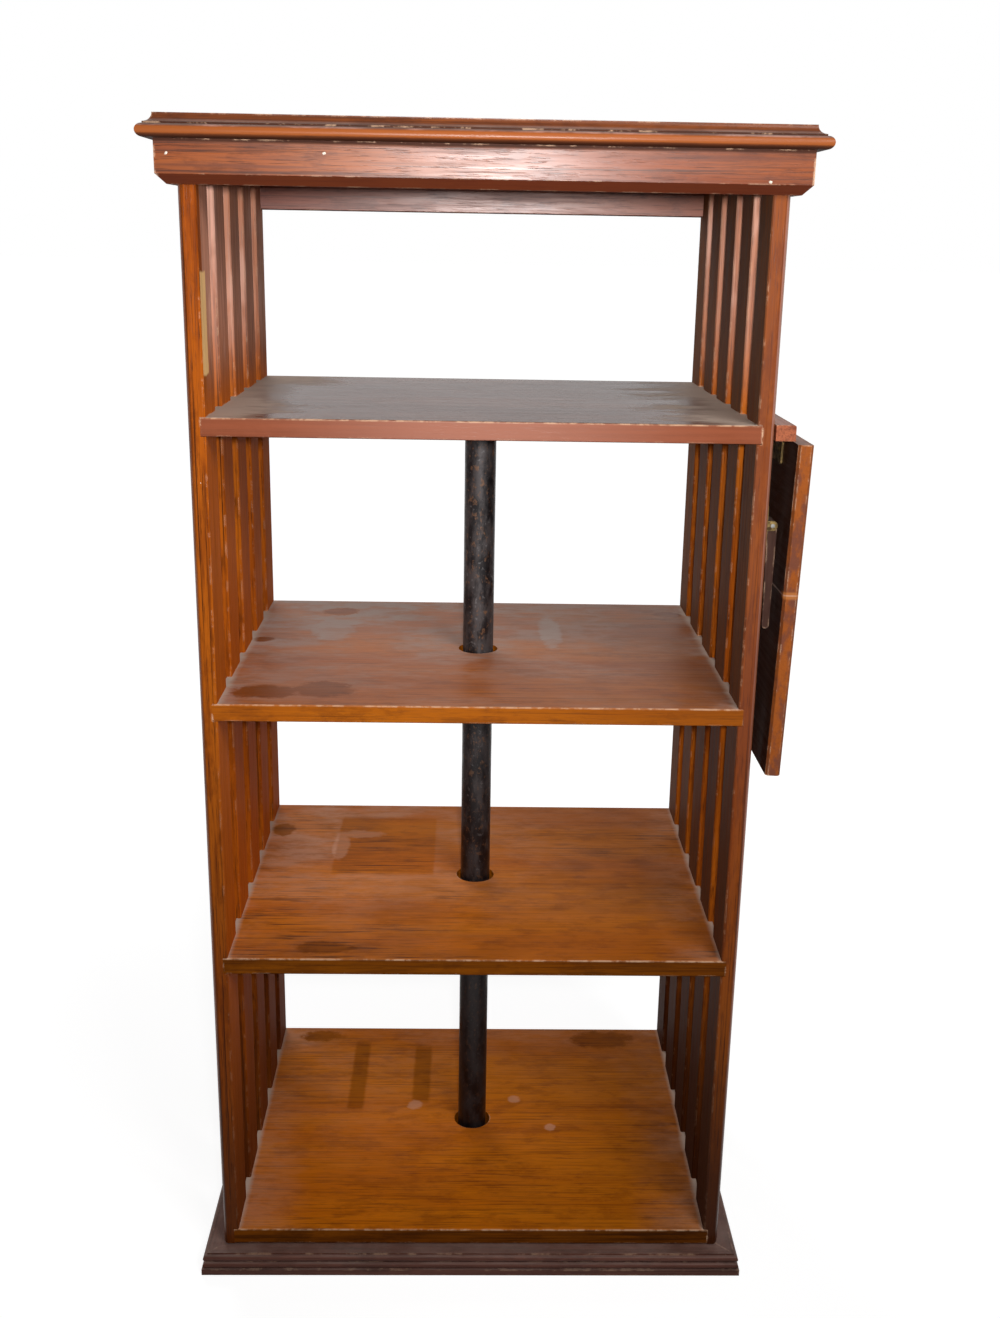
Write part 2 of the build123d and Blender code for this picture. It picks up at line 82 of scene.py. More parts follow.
# Stains, wear and bare places in the varnish, and the colours of painted sheen, highlights, light and
# shade
# Dark of the pores, also used as painted shade on feet, undersides, the top's quirk, the boards' right
# ends and lower front edges
PORE_AND_SHADE_COLOUR = (0.030, 0.007, 0.002)
# Mauve of a painted sheen on the upper slats and up the right front stile
MAUVE_SHEEN_COLOUR = (0.120, 0.037, 0.023)
# Pink of painted highlights on the right stile's nosing, the top's bead and the upper shelf's front edge
PINK_HIGHLIGHT_COLOUR = (0.420, 0.205, 0.155)
ROSE_COLOUR = (0.270, 0.074, 0.034)
# Pale of a painted highlight on the upper slats
PALE_HIGHLIGHT_COLOUR = (0.720, 0.390, 0.290)
# Orange of painted light on the left inner faces
LIT_INSIDE_COLOUR = (0.580, 0.120, 0.003)
# Orange of a painted highlight along the crown of the top's bead
CROWN_HIGHLIGHT_COLOUR = (0.330, 0.085, 0.016)
# Dark orange of painted shade on the frieze's chamfer
CHAMFER_SHADE_COLOUR = (0.080, 0.011, 0.0005)
LEAF_END_COLOUR = (0.340, 0.085, 0.012)
LEAF_BLOTCH_COLOUR = (0.110, 0.040, 0.030)
# Dark of painted shade on the leaf's inner face
LEAF_INSIDE_SHADE_COLOUR = (0.020, 0.009, 0.007)
LEAF_CHIP_COLOUR = (0.55, 0.20, 0.05)
WORN_COLOUR = (0.66, 0.42, 0.27)
BARE_COLOUR = (0.95, 0.58, 0.24)
FILLER_COLOUR = (0.80, 0.74, 0.62)

# Dirt
# Grime, also painted shade on the right inner faces of the uprights
GRIME_AND_SHADE_COLOUR = (0.050, 0.034, 0.022)
DUST_COLOUR = (0.46, 0.350, 0.305)
POWDER_COLOUR = (0.66, 0.350, 0.225)
HAZE_COLOUR = (0.56, 0.44, 0.36)

# Metals
SCALE_DARK = (0.010, 0.008, 0.009)
SCALE_LIGHT = (0.062, 0.052, 0.052)
RUST_COLOUR = (0.17, 0.085, 0.045)
RUBBED_IRON_COLOUR = (0.16, 0.15, 0.15)
SOOT_COLOUR = (0.007, 0.003, 0.003)
STEEL_DARK = (0.060, 0.056, 0.052)
STEEL_LIGHT = (0.30, 0.29, 0.28)
STEEL_METALLIC = 0.9
BRASS_DARK = (0.040, 0.022, 0.008)
BRASS_LIGHT = (0.27, 0.18, 0.065)
BRASS_METALLIC = 0.85

# Places taken from the frame
INNER_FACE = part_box("right_front_stile")[0].x
CASE_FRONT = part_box("upper_shelf")[0].y
FRIEZE_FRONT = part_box("frieze_front")[0].y
FRIEZE_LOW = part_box("frieze_front")[0].z
FRIEZE_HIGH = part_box("frieze_front")[1].z
TOP_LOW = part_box("top_board")[0].z
LEAF_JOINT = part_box("leaf_lower_board")[1].z

# Filled nail holes on the front of the frieze, as X and Z. A cap is rings of radius and height shares
NAIL_PLACES = ((-0.280, 1.167), (-0.142, 1.169), (0.252, 1.152))
NAIL_RADIUS = 0.0014
NAIL_HEIGHT = 0.0005
NAIL_RINGS = ((1.0, 0.0), (0.85, 0.6), (0.45, 1.0))
NAIL_STEPS = 12
NAIL_OVAL = 0.18
NAIL_OVAL_LOBES = 2
NAIL_RAGGED = 0.1
NAIL_RAGGED_LOBES = 5

# Slotted screw heads: radius against the CAD head, slot against the radius, rise, rings of height and
# radius shares, steps round half a head, and the turn from one head to the next
HEAD_SHARE = 0.96
HEAD_SLOT_SHARE = 0.22
HEAD_RISE = 0.0003
HEAD_RINGS = ((0.0, 1.0), (0.6, 1.0), (1.0, 0.9))
HEAD_STEPS = 14
HEAD_TURN = 67.0
WELD = 1e-6
SORT_DIGITS = 4

# A noise: features per metre along X, Y and Z, detail, roughness and shift
Noise = namedtuple("Noise", "stretch detail roughness shift", defaults=(0.55, (0, 0, 0)))

# A layer of grain: features per metre along and across it, detail, roughness and shift
Layer = namedtuple("Layer", "lengthwise crosswise detail roughness shift", defaults=(0.55, (0, 0, 0)))

# Sockets of the Mix node when it mixes colours, and the samples of the Bevel node
MIX_FACTOR, MIX_FIRST, MIX_SECOND, MIX_RESULT = 0, 6, 7, 2
BEVEL_SAMPLES = 6

# Marks on the boards: the rim of an oval, and how far a strip's sides wander and fade along X and Y
OVAL_RIM = (2.6, 1.7)
STRIP_WANDER = 0.002
STRIP_SOFT_X = 0.006
STRIP_SOFT_Y = 0.020


def rgba(colour):
    """A colour with full opacity."""
    return (*colour[:3], 1.0)


class Shader:
    """A material in the making, with short calls for its nodes."""

    def __init__(self, name):
        self.material = bpy.data.materials.new(name)
        self.material.use_nodes = True
        self.tree = self.material.node_tree
        self.tree.nodes.clear()
        coordinates = self.add("ShaderNodeTexCoord")
        self.place = coordinates.outputs["Object"]
        split = self.add("ShaderNodeSeparateXYZ")
        self.feed(split.inputs[0], self.place)
        self.x, self.y, self.z = split.outputs
        facing = self.add("ShaderNodeSeparateXYZ")
        self.feed(facing.inputs[0], coordinates.outputs["Normal"])
        self.facing_x, self.facing_y, self.facing_z = facing.outputs

    def add(self, kind, **settings):
        """A new node with its settings."""
        node = self.tree.nodes.new(kind)
        for key, value in settings.items():
            setattr(node, key, value)
        return node

    def feed(self, socket, value):
        """Links a socket to another one, or sets it to a constant."""
        if isinstance(value, bpy.types.NodeSocket):
            self.tree.links.new(value, socket)
        else:
            socket.default_value = value

    def calc(self, operation, first, second=0.0):
        node = self.add("ShaderNodeMath", operation=operation)
        self.feed(node.inputs[0], first)
        self.feed(node.inputs[1], second)
        return node.outputs[0]

    def size(self, value):
        return self.calc("ABSOLUTE", value)

    def times(self, first, *others):
        for other in others:
            first = self.calc("MULTIPLY", first, other)
        return first

    def plus(self, first, *others):
        for other in others:
            first = self.calc("ADD", first, other)
        return first

    def most(self, first, *others):
        for other in others:
            first = self.calc("MAXIMUM", first, other)
        return first

    def span(self, value, low, high, start=0.0, end=1.0):
        """Runs smoothly from start to end as the value goes from low to high."""
        node = self.add("ShaderNodeMapRange", interpolation_type="SMOOTHSTEP")
        for socket, number in zip(node.inputs, (value, low, high, start, end)):
            self.feed(socket, number)
        return node.outputs[0]

    def band(self, value, low, high, soft):
        """One between low and high, fading to zero over a soft margin outside."""
        rise = self.span(value, low - soft, low)
        fall = self.span(value, high, high + soft, 1.0, 0.0)
        return self.times(rise, fall)

    def noise(self, recipe):
        """Noise whose count of features per metre differs along X, Y and Z."""
        scaled = self.add("ShaderNodeVectorMath", operation="MULTIPLY_ADD")
        self.feed(scaled.inputs[0], self.place)
        scaled.inputs[1].default_value = recipe.stretch
        scaled.inputs[2].default_value = recipe.shift
        node = self.add("ShaderNodeTexNoise")
        self.feed(node.inputs["Vector"], scaled.outputs[0])
        node.inputs["Scale"].default_value = 1.0
        node.inputs["Detail"].default_value = recipe.detail
        node.inputs["Roughness"].default_value = recipe.roughness
        return node.outputs["Fac"]

    def layer(self, axis, layer):
        """Noise of a layer of grain that runs along X, Y or Z."""
        stretch = tuple(layer.lengthwise if name == axis else layer.crosswise for name in "XYZ")
        return self.noise(Noise(stretch, layer.detail, layer.roughness, layer.shift))

    def oval(self, mark, ragged):
        """One inside an oval mark on a board, with a soft rim that the ragged noise moves."""
        middle_x, middle_y, half_length, half_width = mark
        across = self.calc("POWER", self.times(self.plus(self.x, -middle_x), 1 / half_length), 2.0)
        deep = self.calc("POWER", self.times(self.plus(self.y, -middle_y), 1 / half_width), 2.0)
        return self.span(self.plus(across, deep, ragged), *OVAL_RIM)

    def ovals(self, marks, ragged):
        """The strongest of several oval marks, zero where there is none."""
        total = 0.0
        for mark in marks:
            total = self.most(self.oval(mark, ragged), total)
        return total

    def strips(self, marks, ragged):
        """The strongest of several straight-sided marks, each a span of X and one of Y."""
        total = 0.0
        wander = self.times(ragged, STRIP_WANDER)
        for near, far, front, back in marks:
            across = self.band(self.plus(self.x, wander), near, far, STRIP_SOFT_X)
            deep = self.band(self.plus(self.y, wander), front, back, STRIP_SOFT_Y)
            total = self.most(self.times(across, deep), total)
        return total

    def blend(self, factor, first, second):
        """The first colour, mixed with the second by the factor."""
        node = self.add("ShaderNodeMix", data_type="RGBA")
        self.feed(node.inputs[MIX_FACTOR], factor)
        for index, colour in ((MIX_FIRST, first), (MIX_SECOND, second)):
            self.feed(node.inputs[index], rgba(colour) if isinstance(colour, tuple) else colour)
        return node.outputs[MIX_RESULT]

    def edge(self, radius, start, full):
        """One where the surface turns sharply within the radius, as along an arris."""
        bevel = self.add("ShaderNodeBevel", samples=BEVEL_SAMPLES)
        bevel.inputs["Radius"].default_value = radius
        geometry = self.add("ShaderNodeNewGeometry")
        dot = self.add("ShaderNodeVectorMath", operation="DOT_PRODUCT")
        self.feed(dot.inputs[0], bevel.outputs[0])
        self.feed(dot.inputs[1], geometry.outputs["Normal"])
        return self.span(dot.outputs["Value"], full, start, 1.0, 0.0)

    def close(self, colour, roughness, height, depth, specular=0.5, metallic=0.0):
        """Ends in a principled surface with a bump of the given depth."""
        bump = self.add("ShaderNodeBump")
        bump.inputs["Strength"].default_value = 1.0
        bump.inputs["Distance"].default_value = depth
        self.feed(bump.inputs["Height"], height)
        surface = self.add("ShaderNodeBsdfPrincipled")
        self.feed(surface.inputs["Base Color"], colour)
        self.feed(surface.inputs["Roughness"], roughness)
        self.feed(surface.inputs["Normal"], bump.outputs[0])
        surface.inputs["Specular IOR Level"].default_value = specular
        surface.inputs["Metallic"].default_value = metallic
        output = self.add("ShaderNodeOutputMaterial")
        self.feed(output.inputs["Surface"], surface.outputs[0])
        return self.material


# Below, a tuple for span is the low and high end of what it reads, or those two and the result at each.
# A tuple for band is its low and high end and its soft margin.

# Grain, from broad bands down to pores
BROAD_LAYER = Layer(2.2, 13.0, 3.0)
BROAD_SPAN = (0.36, 0.64)
MOTTLE_LAYER = Layer(20.0, 46.0, 5.0, 0.7, (0.7, 0.2, 0.4))
MOTTLE_SPAN = (0.52, 0.36, 0.0, 0.45)
STREAK_LAYER = Layer(8.0, 260.0, 4.0, 0.6)
STREAK_SPAN = (0.55, 0.30)
STREAK_SHARE = 0.55
LINE_LAYER = Layer(3.0, 430.0, 3.0, 0.65, (0.1, 0.5, 0.9))
LINE_SPAN = (0.46, 0.32)
LINE_SHARE = 0.60
FIBRE_LAYER = Layer(34.0, 900.0, 2.0, 0.6)
PORE_SPAN = (0.46, 0.30)
PORE_SHARE = 0.5
STREAK_HEIGHT = 0.4
PORE_HEIGHT = -0.6


def grain(shader, axis, tones, contrast=1.0):
    """Colour, height for the bump, and streaks of open-grained wood."""
    shade, body, light = tones
    broad = shader.layer(axis, BROAD_LAYER)
    streak = shader.layer(axis, STREAK_LAYER)
    fibre = shader.layer(axis, FIBRE_LAYER)
    mottle = shader.layer(axis, MOTTLE_LAYER)
    line = shader.layer(axis, LINE_LAYER)
    colour = shader.blend(shader.span(broad, *BROAD_SPAN), body, light)
    colour = shader.blend(shader.span(mottle, *MOTTLE_SPAN), colour, shade)
    colour = shader.blend(shader.span(streak, *STREAK_SPAN, 0.0, STREAK_SHARE * contrast), colour, shade)
    colour = shader.blend(shader.span(line, *LINE_SPAN, 0.0, LINE_SHARE * contrast), colour, PORE_AND_SHADE_COLOUR)
    pores = shader.span(fibre, *PORE_SPAN)
    colour = shader.blend(shader.times(pores, PORE_SHARE * contrast), colour, PORE_AND_SHADE_COLOUR)
    height = shader.plus(shader.times(streak, STREAK_HEIGHT), shader.times(pores, PORE_HEIGHT))
    return colour, height, streak


# Worn arrises: how far in the wear reaches, the turn at which it starts and is full, and its dashes
WEAR_REACH = 0.0028
WEAR_TURN = (0.985, 0.90)
WEAR_NOISE = Noise((55.0, 55.0, 55.0), 4.0, 0.7)
WEAR_SPAN = (0.50, 0.62)


def worn(shader, colour, amount):
    """Wear that bares the wood in dashes along the arrises."""
    arris = shader.edge(WEAR_REACH, *WEAR_TURN)
    dashes = shader.span(shader.noise(WEAR_NOISE), *WEAR_SPAN)
    return shader.blend(shader.times(arris, dashes, amount), colour, WORN_COLOUR)


# Dust on what faces up
DUST_NOISE = Noise((14.0, 19.0, 14.0), 6.0, 0.65)
DUST_SPAN = (0.32, 0.68, 0.35, 1.0)
DUST_UPWARD = (0.6, 0.95)


def dusted(shader, colour, amount):
    """Uneven dust on what faces up; returns the colour and where the dust lies."""
    cloud = shader.span(shader.noise(DUST_NOISE), *DUST_SPAN)
    veil = shader.times(shader.span(shader.facing_z, *DUST_UPWARD), cloud, amount)
    return shader.blend(veil, colour, DUST_COLOUR), veil


# Varnish: bump, the streaks that its roughness follows, its swing, and what dulls it
VARNISH_DEPTH = 0.00006
POLISH_SPAN = (0.3, 0.7)
POLISH_DULL = 0.07
POLISH_BRIGHT = -0.03
DUST_DULL = 0.3
DIRT_AND_SHADE_DULL = 0.4
DOWNWARD = (-0.3, -0.6)

# Plain woods: run of the grain, tones, roughness, specular level, wear, dust, painted shade on faces
# below, nodes
Plain = namedtuple("Plain", "axis tones rough specular wear dust underside nodes")
PLINTH_LOOK = (PLINTH_TONES, 0.40, 0.14, 0.35, 0.28, 0.0)
PLAIN_WOODS = {
    "rail_wood": Plain("X", RAIL_TONES, 0.32, 0.40, 0.5, 0.3, 0.8, ("back_rail",)),
    "plinth_wood_long": Plain("X", *PLINTH_LOOK, ("plinth_front", "plinth_back")),
    "plinth_wood_deep": Plain("Y", *PLINTH_LOOK, ("plinth_left", "plinth_right", "plinth_panel")),
    "cleat_wood": Plain("Y", RAIL_TONES, 0.40, 0.15, 0.7, 0.5, 0.0, ("leaf_cleat",)),
    "prop_wood": Plain("Z", PROP_TONES, 0.45, 0.12, 0.4, 0.2, 0.0, ("prop_arms",)),
}


def plain_wood(name, look):
    """Varnished wood with worn arrises, dust on what faces up and painted shade on faces below."""
    shader = Shader(name)
    colour, height, streak = grain(shader, look.axis, look.tones)
    # Painted shade on faces that look down
    below = shader.span(shader.facing_z, *DOWNWARD, 0.0, look.underside)
    colour = shader.blend(below, colour, PORE_AND_SHADE_COLOUR)
    colour = worn(shader, colour, look.wear)
    colour, veil = dusted(shader, colour, look.dust)
    polish = shader.span(streak, *POLISH_SPAN, look.rough + POLISH_DULL, look.rough + POLISH_BRIGHT)
    dull = shader.times(veil, DUST_DULL), shader.times(below, DIRT_AND_SHADE_DULL)
    return shader.close(colour, shader.plus(polish, *dull), height, VARNISH_DEPTH, look.specular)


# Frieze: darker towards its foot and painted shade on its chamfer, and painted shade in the joint under
# the top's bead
FRIEZE_CONTRAST = 1.2
FRIEZE_FOOT = (FRIEZE_LOW + 0.020, FRIEZE_LOW + 0.008, 0.0, 0.30)
FRIEZE_JOINT = (FRIEZE_HIGH - 0.0050, FRIEZE_HIGH - 0.0015)
FRIEZE_SHADE = 0.85
FRIEZE_WEAR = 0.7
FRIEZE_DUST = 0.45
FRIEZE_POLISH = (0.36, 0.26)
FRIEZE_SPECULAR = 0.25


def frieze_wood(name, axis):
    """Frieze boards: painted shade in the joint under the top, and painted shade on the chamfer below.
    """
    shader = Shader(name)
    colour, height, streak = grain(shader, axis, FRIEZE_TONES, FRIEZE_CONTRAST)
    # Darker and more orange towards the foot, running into the chamfer's painted shade
    colour = shader.blend(shader.span(shader.z, *FRIEZE_FOOT), colour, CHAMFER_SHADE_COLOUR)
    # Painted shade on the chamfer, which looks down
    below = shader.span(shader.facing_z, *DOWNWARD)
    colour = shader.blend(shader.times(below, FRIEZE_SHADE), colour, CHAMFER_SHADE_COLOUR)
    # Painted shade in the joint under the overhang of the top's bead
    joint = shader.span(shader.z, *FRIEZE_JOINT)
    colour = shader.blend(shader.times(joint, FRIEZE_SHADE), colour, PORE_AND_SHADE_COLOUR)
    colour = worn(shader, colour, FRIEZE_WEAR)
    colour, _ = dusted(shader, colour, FRIEZE_DUST)
    polish = shader.span(streak, *POLISH_SPAN, *FRIEZE_POLISH)
    roughness = shader.plus(polish, shader.times(shader.most(below, joint), DIRT_AND_SHADE_DULL))
    return shader.close(colour, roughness, height, VARNISH_DEPTH, FRIEZE_SPECULAR)


# Top board, by height over its underside: the bead's foot, crown and rim, and the quirk over it
TOP_SIDEWAYS = (0.9, 0.7)
TOP_FOOT = (TOP_LOW + 0.0034, TOP_LOW + 0.0008)
TOP_CROWN = (TOP_LOW + 0.0040, TOP_LOW + 0.0085, 0.0015)
TOP_CROWN_SHARE = 0.75
TOP_RIM = (TOP_LOW + 0.0096, TOP_LOW + 0.0104, 0.0008)
TOP_RIM_NOISE = Noise((18.0, 18.0, 60.0), 5.0, 0.7, (0.4, 0.1, 0.2))
TOP_RIM_SPAN = (0.44, 0.62, 0.15, 0.9)
TOP_RIM_SHARE = 0.8
TOP_QUIRK = (TOP_LOW + 0.0108, TOP_LOW + 0.0130, 0.0008)
TOP_SHADE = 0.85
TOP_WEAR = 0.4
TOP_DUST = 0.35
TOP_POLISH = (0.36, 0.26)
TOP_SPECULAR = 0.18


def top_wood():
    """Top board: painted shade in the quirk and under its bead, a painted highlight along the bead's
    crown, and a pale line along its rim, partly wear and partly painted highlight.
    """
    shader = Shader("top_wood")
    colour, height, streak = grain(shader, "X", TOP_TONES)
    side = shader.span(shader.facing_z, *TOP_SIDEWAYS)
    # Painted highlight on the bead's crown, which faces the light
    crown = shader.times(side, shader.band(shader.z, *TOP_CROWN))
    colour = shader.blend(shader.times(crown, TOP_CROWN_SHARE), colour, CROWN_HIGHLIGHT_COLOUR)
    # Painted shade in the quirk and under the bead's foot
    grime_and_shade = shader.most(shader.band(shader.z, *TOP_QUIRK), shader.span(shader.z, *TOP_FOOT))
    colour = shader.blend(shader.times(grime_and_shade, TOP_SHADE), colour, PORE_AND_SHADE_COLOUR)
    # A pale line along the bead's rim in dashes, partly wear and partly a painted highlight
    rubbed_and_highlit = shader.span(shader.noise(TOP_RIM_NOISE), *TOP_RIM_SPAN)
    rim = shader.times(shader.band(shader.z, *TOP_RIM), rubbed_and_highlit, TOP_RIM_SHARE)
    colour = shader.blend(rim, colour, PINK_HIGHLIGHT_COLOUR)
    colour = worn(shader, colour, TOP_WEAR)
    colour, veil = dusted(shader, colour, TOP_DUST)
    polish = shader.span(streak, *POLISH_SPAN, *TOP_POLISH)
    roughness = shader.plus(polish, shader.times(veil, DUST_DULL), shader.times(grime_and_shade, DIRT_AND_SHADE_DULL))
    return shader.close(colour, roughness, height, VARNISH_DEPTH, TOP_SPECULAR)


# Stiles and slats: which way they face and where they stand
Faces = namedtuple("Faces", "front right left stile inward")
UPRIGHT_FRONT = (-0.35, -0.75)
UPRIGHT_RIGHT = (0.0, 0.1)
UPRIGHT_LEFT = (0.0, -0.1)
UPRIGHT_STILE = (CASE_FRONT + 0.020, CASE_FRONT + 0.012)
UPRIGHT_INWARD = (0.6, 0.9)


def upright_faces(shader):
    """Faces to the front and inwards, the two sides of the case, and the front stiles."""
    return Faces(
        front=shader.span(shader.facing_y, *UPRIGHT_FRONT),
        right=shader.span(shader.x, *UPRIGHT_RIGHT),
        left=shader.span(shader.x, *UPRIGHT_LEFT),
        stile=shader.span(shader.y, *UPRIGHT_STILE),
        inward=shader.span(shader.times(shader.facing_x, shader.x, -1 / INNER_FACE), *UPRIGHT_INWARD),
    )


# Painted sheen and highlights, by height: slats over the upper shelf, the right front stile and its
# nosing
SHEEN_NOISE = Noise((30.0, 30.0, 7.0), 4.0, 0.6)
SHEEN_CLOUD = (0.35, 0.65)
SHEEN_RISE = (0.93, 1.04)
SHEEN_SLATS = 0.4
SHEEN_STILE = (0.35, 0.75, 0.25, 0.72)
PALE_LEAST = 0.55
PALE_SHARE = 0.95
NOSING_FACING = (0.60, 0.9, 0.12)
NOSING_RISE = (0.35, 0.95, 0.15, 0.60)


def sheened_uprights(shader, colour, faces, through):
    """Painted mauve sheen and pale painted highlights, with the grain showing through."""
    cloud = shader.span(shader.noise(SHEEN_NOISE), *SHEEN_CLOUD)
    rise = shader.times(shader.span(shader.z, *SHEEN_RISE), shader.span(faces.stile, 0.0, 1.0, 1.0, 0.0))
    stile = shader.times(faces.right, faces.stile, shader.span(shader.z, *SHEEN_STILE))
    # Painted mauve sheen over the upper slats and up the right front stile
    sheen = shader.most(shader.times(rise, cloud, SHEEN_SLATS), stile)
    colour = shader.blend(shader.times(faces.front, sheen, through), colour, MAUVE_SHEEN_COLOUR)
    # A pale painted highlight on the upper slats' fronts and left sides
    seen = shader.most(faces.front, faces.left)
    pale = shader.times(rise, seen, shader.most(cloud, PALE_LEAST), through, PALE_SHARE)
    colour = shader.blend(pale, colour, PALE_HIGHLIGHT_COLOUR)
    # A painted highlight on the right front stile's nosing, as lit from the right, stronger upwards
    nosing_highlight = shader.span(shader.z, *NOSING_RISE)
    nosing = shader.times(shader.band(shader.facing_x, *NOSING_FACING), faces.right, nosing_highlight)
    return shader.blend(nosing, colour, PINK_HIGHLIGHT_COLOUR)


# Painted light on the left inner faces, grime and painted shade on the right ones, and painted shade
# towards the feet and down the front stiles
LIT_INSIDE_RISE = (0.98, 0.93)
LIT_INSIDE_SHARE = 0.5
GRIME_AND_SHADE_SHARE = 0.80
FOOT_RISE = (0.42, 0.05, 0.0, 0.72)
FOOT_RIGHT_RISE = (0.7, 0.2)
FOOT_RIGHT_SHARE = 0.2
SHIN_RISE = (0.90, 0.15, 0.0, 0.45)


def lit_and_shaded_uprights(shader, colour, faces, through):
    """Painted light inside on the left, grime and painted shade inside on the right, and painted shade
    towards the feet.
    """
    # Painted light: the left inner faces lit orange
    lit_inside = shader.times(faces.inward, faces.left, shader.span(shader.z, *LIT_INSIDE_RISE), LIT_INSIDE_SHARE)
    colour = shader.blend(lit_inside, colour, LIT_INSIDE_COLOUR)
    # Grime and painted shade on the right inner faces
    grime_and_shade = shader.times(faces.inward, faces.right, through, GRIME_AND_SHADE_SHARE)
    colour = shader.blend(grime_and_shade, colour, GRIME_AND_SHADE_COLOUR)
    # Painted shade: darker towards the feet, more on the right side, and down the fronts of the front
    # stiles
    right = shader.times(faces.right, shader.span(shader.z, *FOOT_RIGHT_RISE), FOOT_RIGHT_SHARE)
    foot = shader.plus(shader.span(shader.z, *FOOT_RISE), right)
    shin = shader.times(faces.front, faces.stile, shader.span(shader.z, *SHIN_RISE))
    return shader.blend(shader.most(foot, shin), colour, PORE_AND_SHADE_COLOUR)


# Bare patch on the inner face of the left front stile, as bands of Y and Z, and its ragged rim
PATCH_DEEP = (-0.2045, -0.179, 0.001)
PATCH_TALL = (0.978, 1.068, 0.003)
PATCH_NOISE = Noise((90.0, 90.0, 40.0), 4.0, 0.7)
PATCH_RAGGED = 0.006
PATCH_GRAIN = (0.3, 0.65, 0.70, 1.0)

# Scuffs low on the left front stile's upper half
SCRATCH_NOISE = Noise((210.0, 210.0, 90.0), 3.0, 0.7, (3.0, 0.0, 0.0))
SCRATCH_SPAN = (0.67, 0.72)
SCRATCH_RISE = (0.80, 0.92, 0.03)
SCRATCH_SHARE = 0.85


def scarred_uprights(shader, colour, faces, streak):
    """One bare patch inside the left front stile, and scuffs on its front."""
    ragged = shader.times(shader.noise(PATCH_NOISE), PATCH_RAGGED)
    patch = shader.times(
        shader.band(shader.plus(shader.y, ragged), *PATCH_DEEP),
        shader.band(shader.plus(shader.z, ragged), *PATCH_TALL),
        faces.left,
        faces.inward,
    )
    bare = shader.times(patch, shader.span(streak, *PATCH_GRAIN))
    colour = shader.blend(bare, colour, BARE_COLOUR)
    scratch = shader.span(shader.noise(SCRATCH_NOISE), *SCRATCH_SPAN)
    rise = shader.band(shader.z, *SCRATCH_RISE)
    scuffed = shader.times(scratch, faces.front, faces.stile, faces.left, rise, SCRATCH_SHARE)
    return shader.blend(scuffed, colour, FILLER_COLOUR)


UPRIGHT_CONTRAST = 1.35
UPRIGHT_THROUGH = (0.34, 0.60, 0.55, 1.0)
UPRIGHT_WEAR = (0.2, 0.95, 0.25, 0.7)
UPRIGHT_POLISH = (0.38, 0.28)
UPRIGHT_SIDE_DULL = (0.92, 0.99, 0.0, 0.4)
UPRIGHT_DEPTH = 0.00010
UPRIGHT_SPECULAR = 0.06


def upright_wood():
    """Stiles and slats: painted sheen and highlights towards the top, painted light and shade inside and
    low down, grime inside on the right, scuffed and with one bare patch.
    """
    shader = Shader("case_wood_upright")
    colour, height, streak = grain(shader, "Z", CASE_TONES, UPRIGHT_CONTRAST)
    faces = upright_faces(shader)
    through = shader.span(streak, *UPRIGHT_THROUGH)
    colour = sheened_uprights(shader, colour, faces, through)
    colour = lit_and_shaded_uprights(shader, colour, faces, through)
    colour = worn(shader, colour, shader.span(shader.z, *UPRIGHT_WEAR))
    colour = scarred_uprights(shader, colour, faces, streak)
    side = shader.span(shader.size(shader.facing_x), *UPRIGHT_SIDE_DULL)
    roughness = shader.plus(shader.span(streak, *POLISH_SPAN, *UPRIGHT_POLISH), side)
    return shader.close(colour, roughness, height, UPRIGHT_DEPTH, UPRIGHT_SPECULAR)


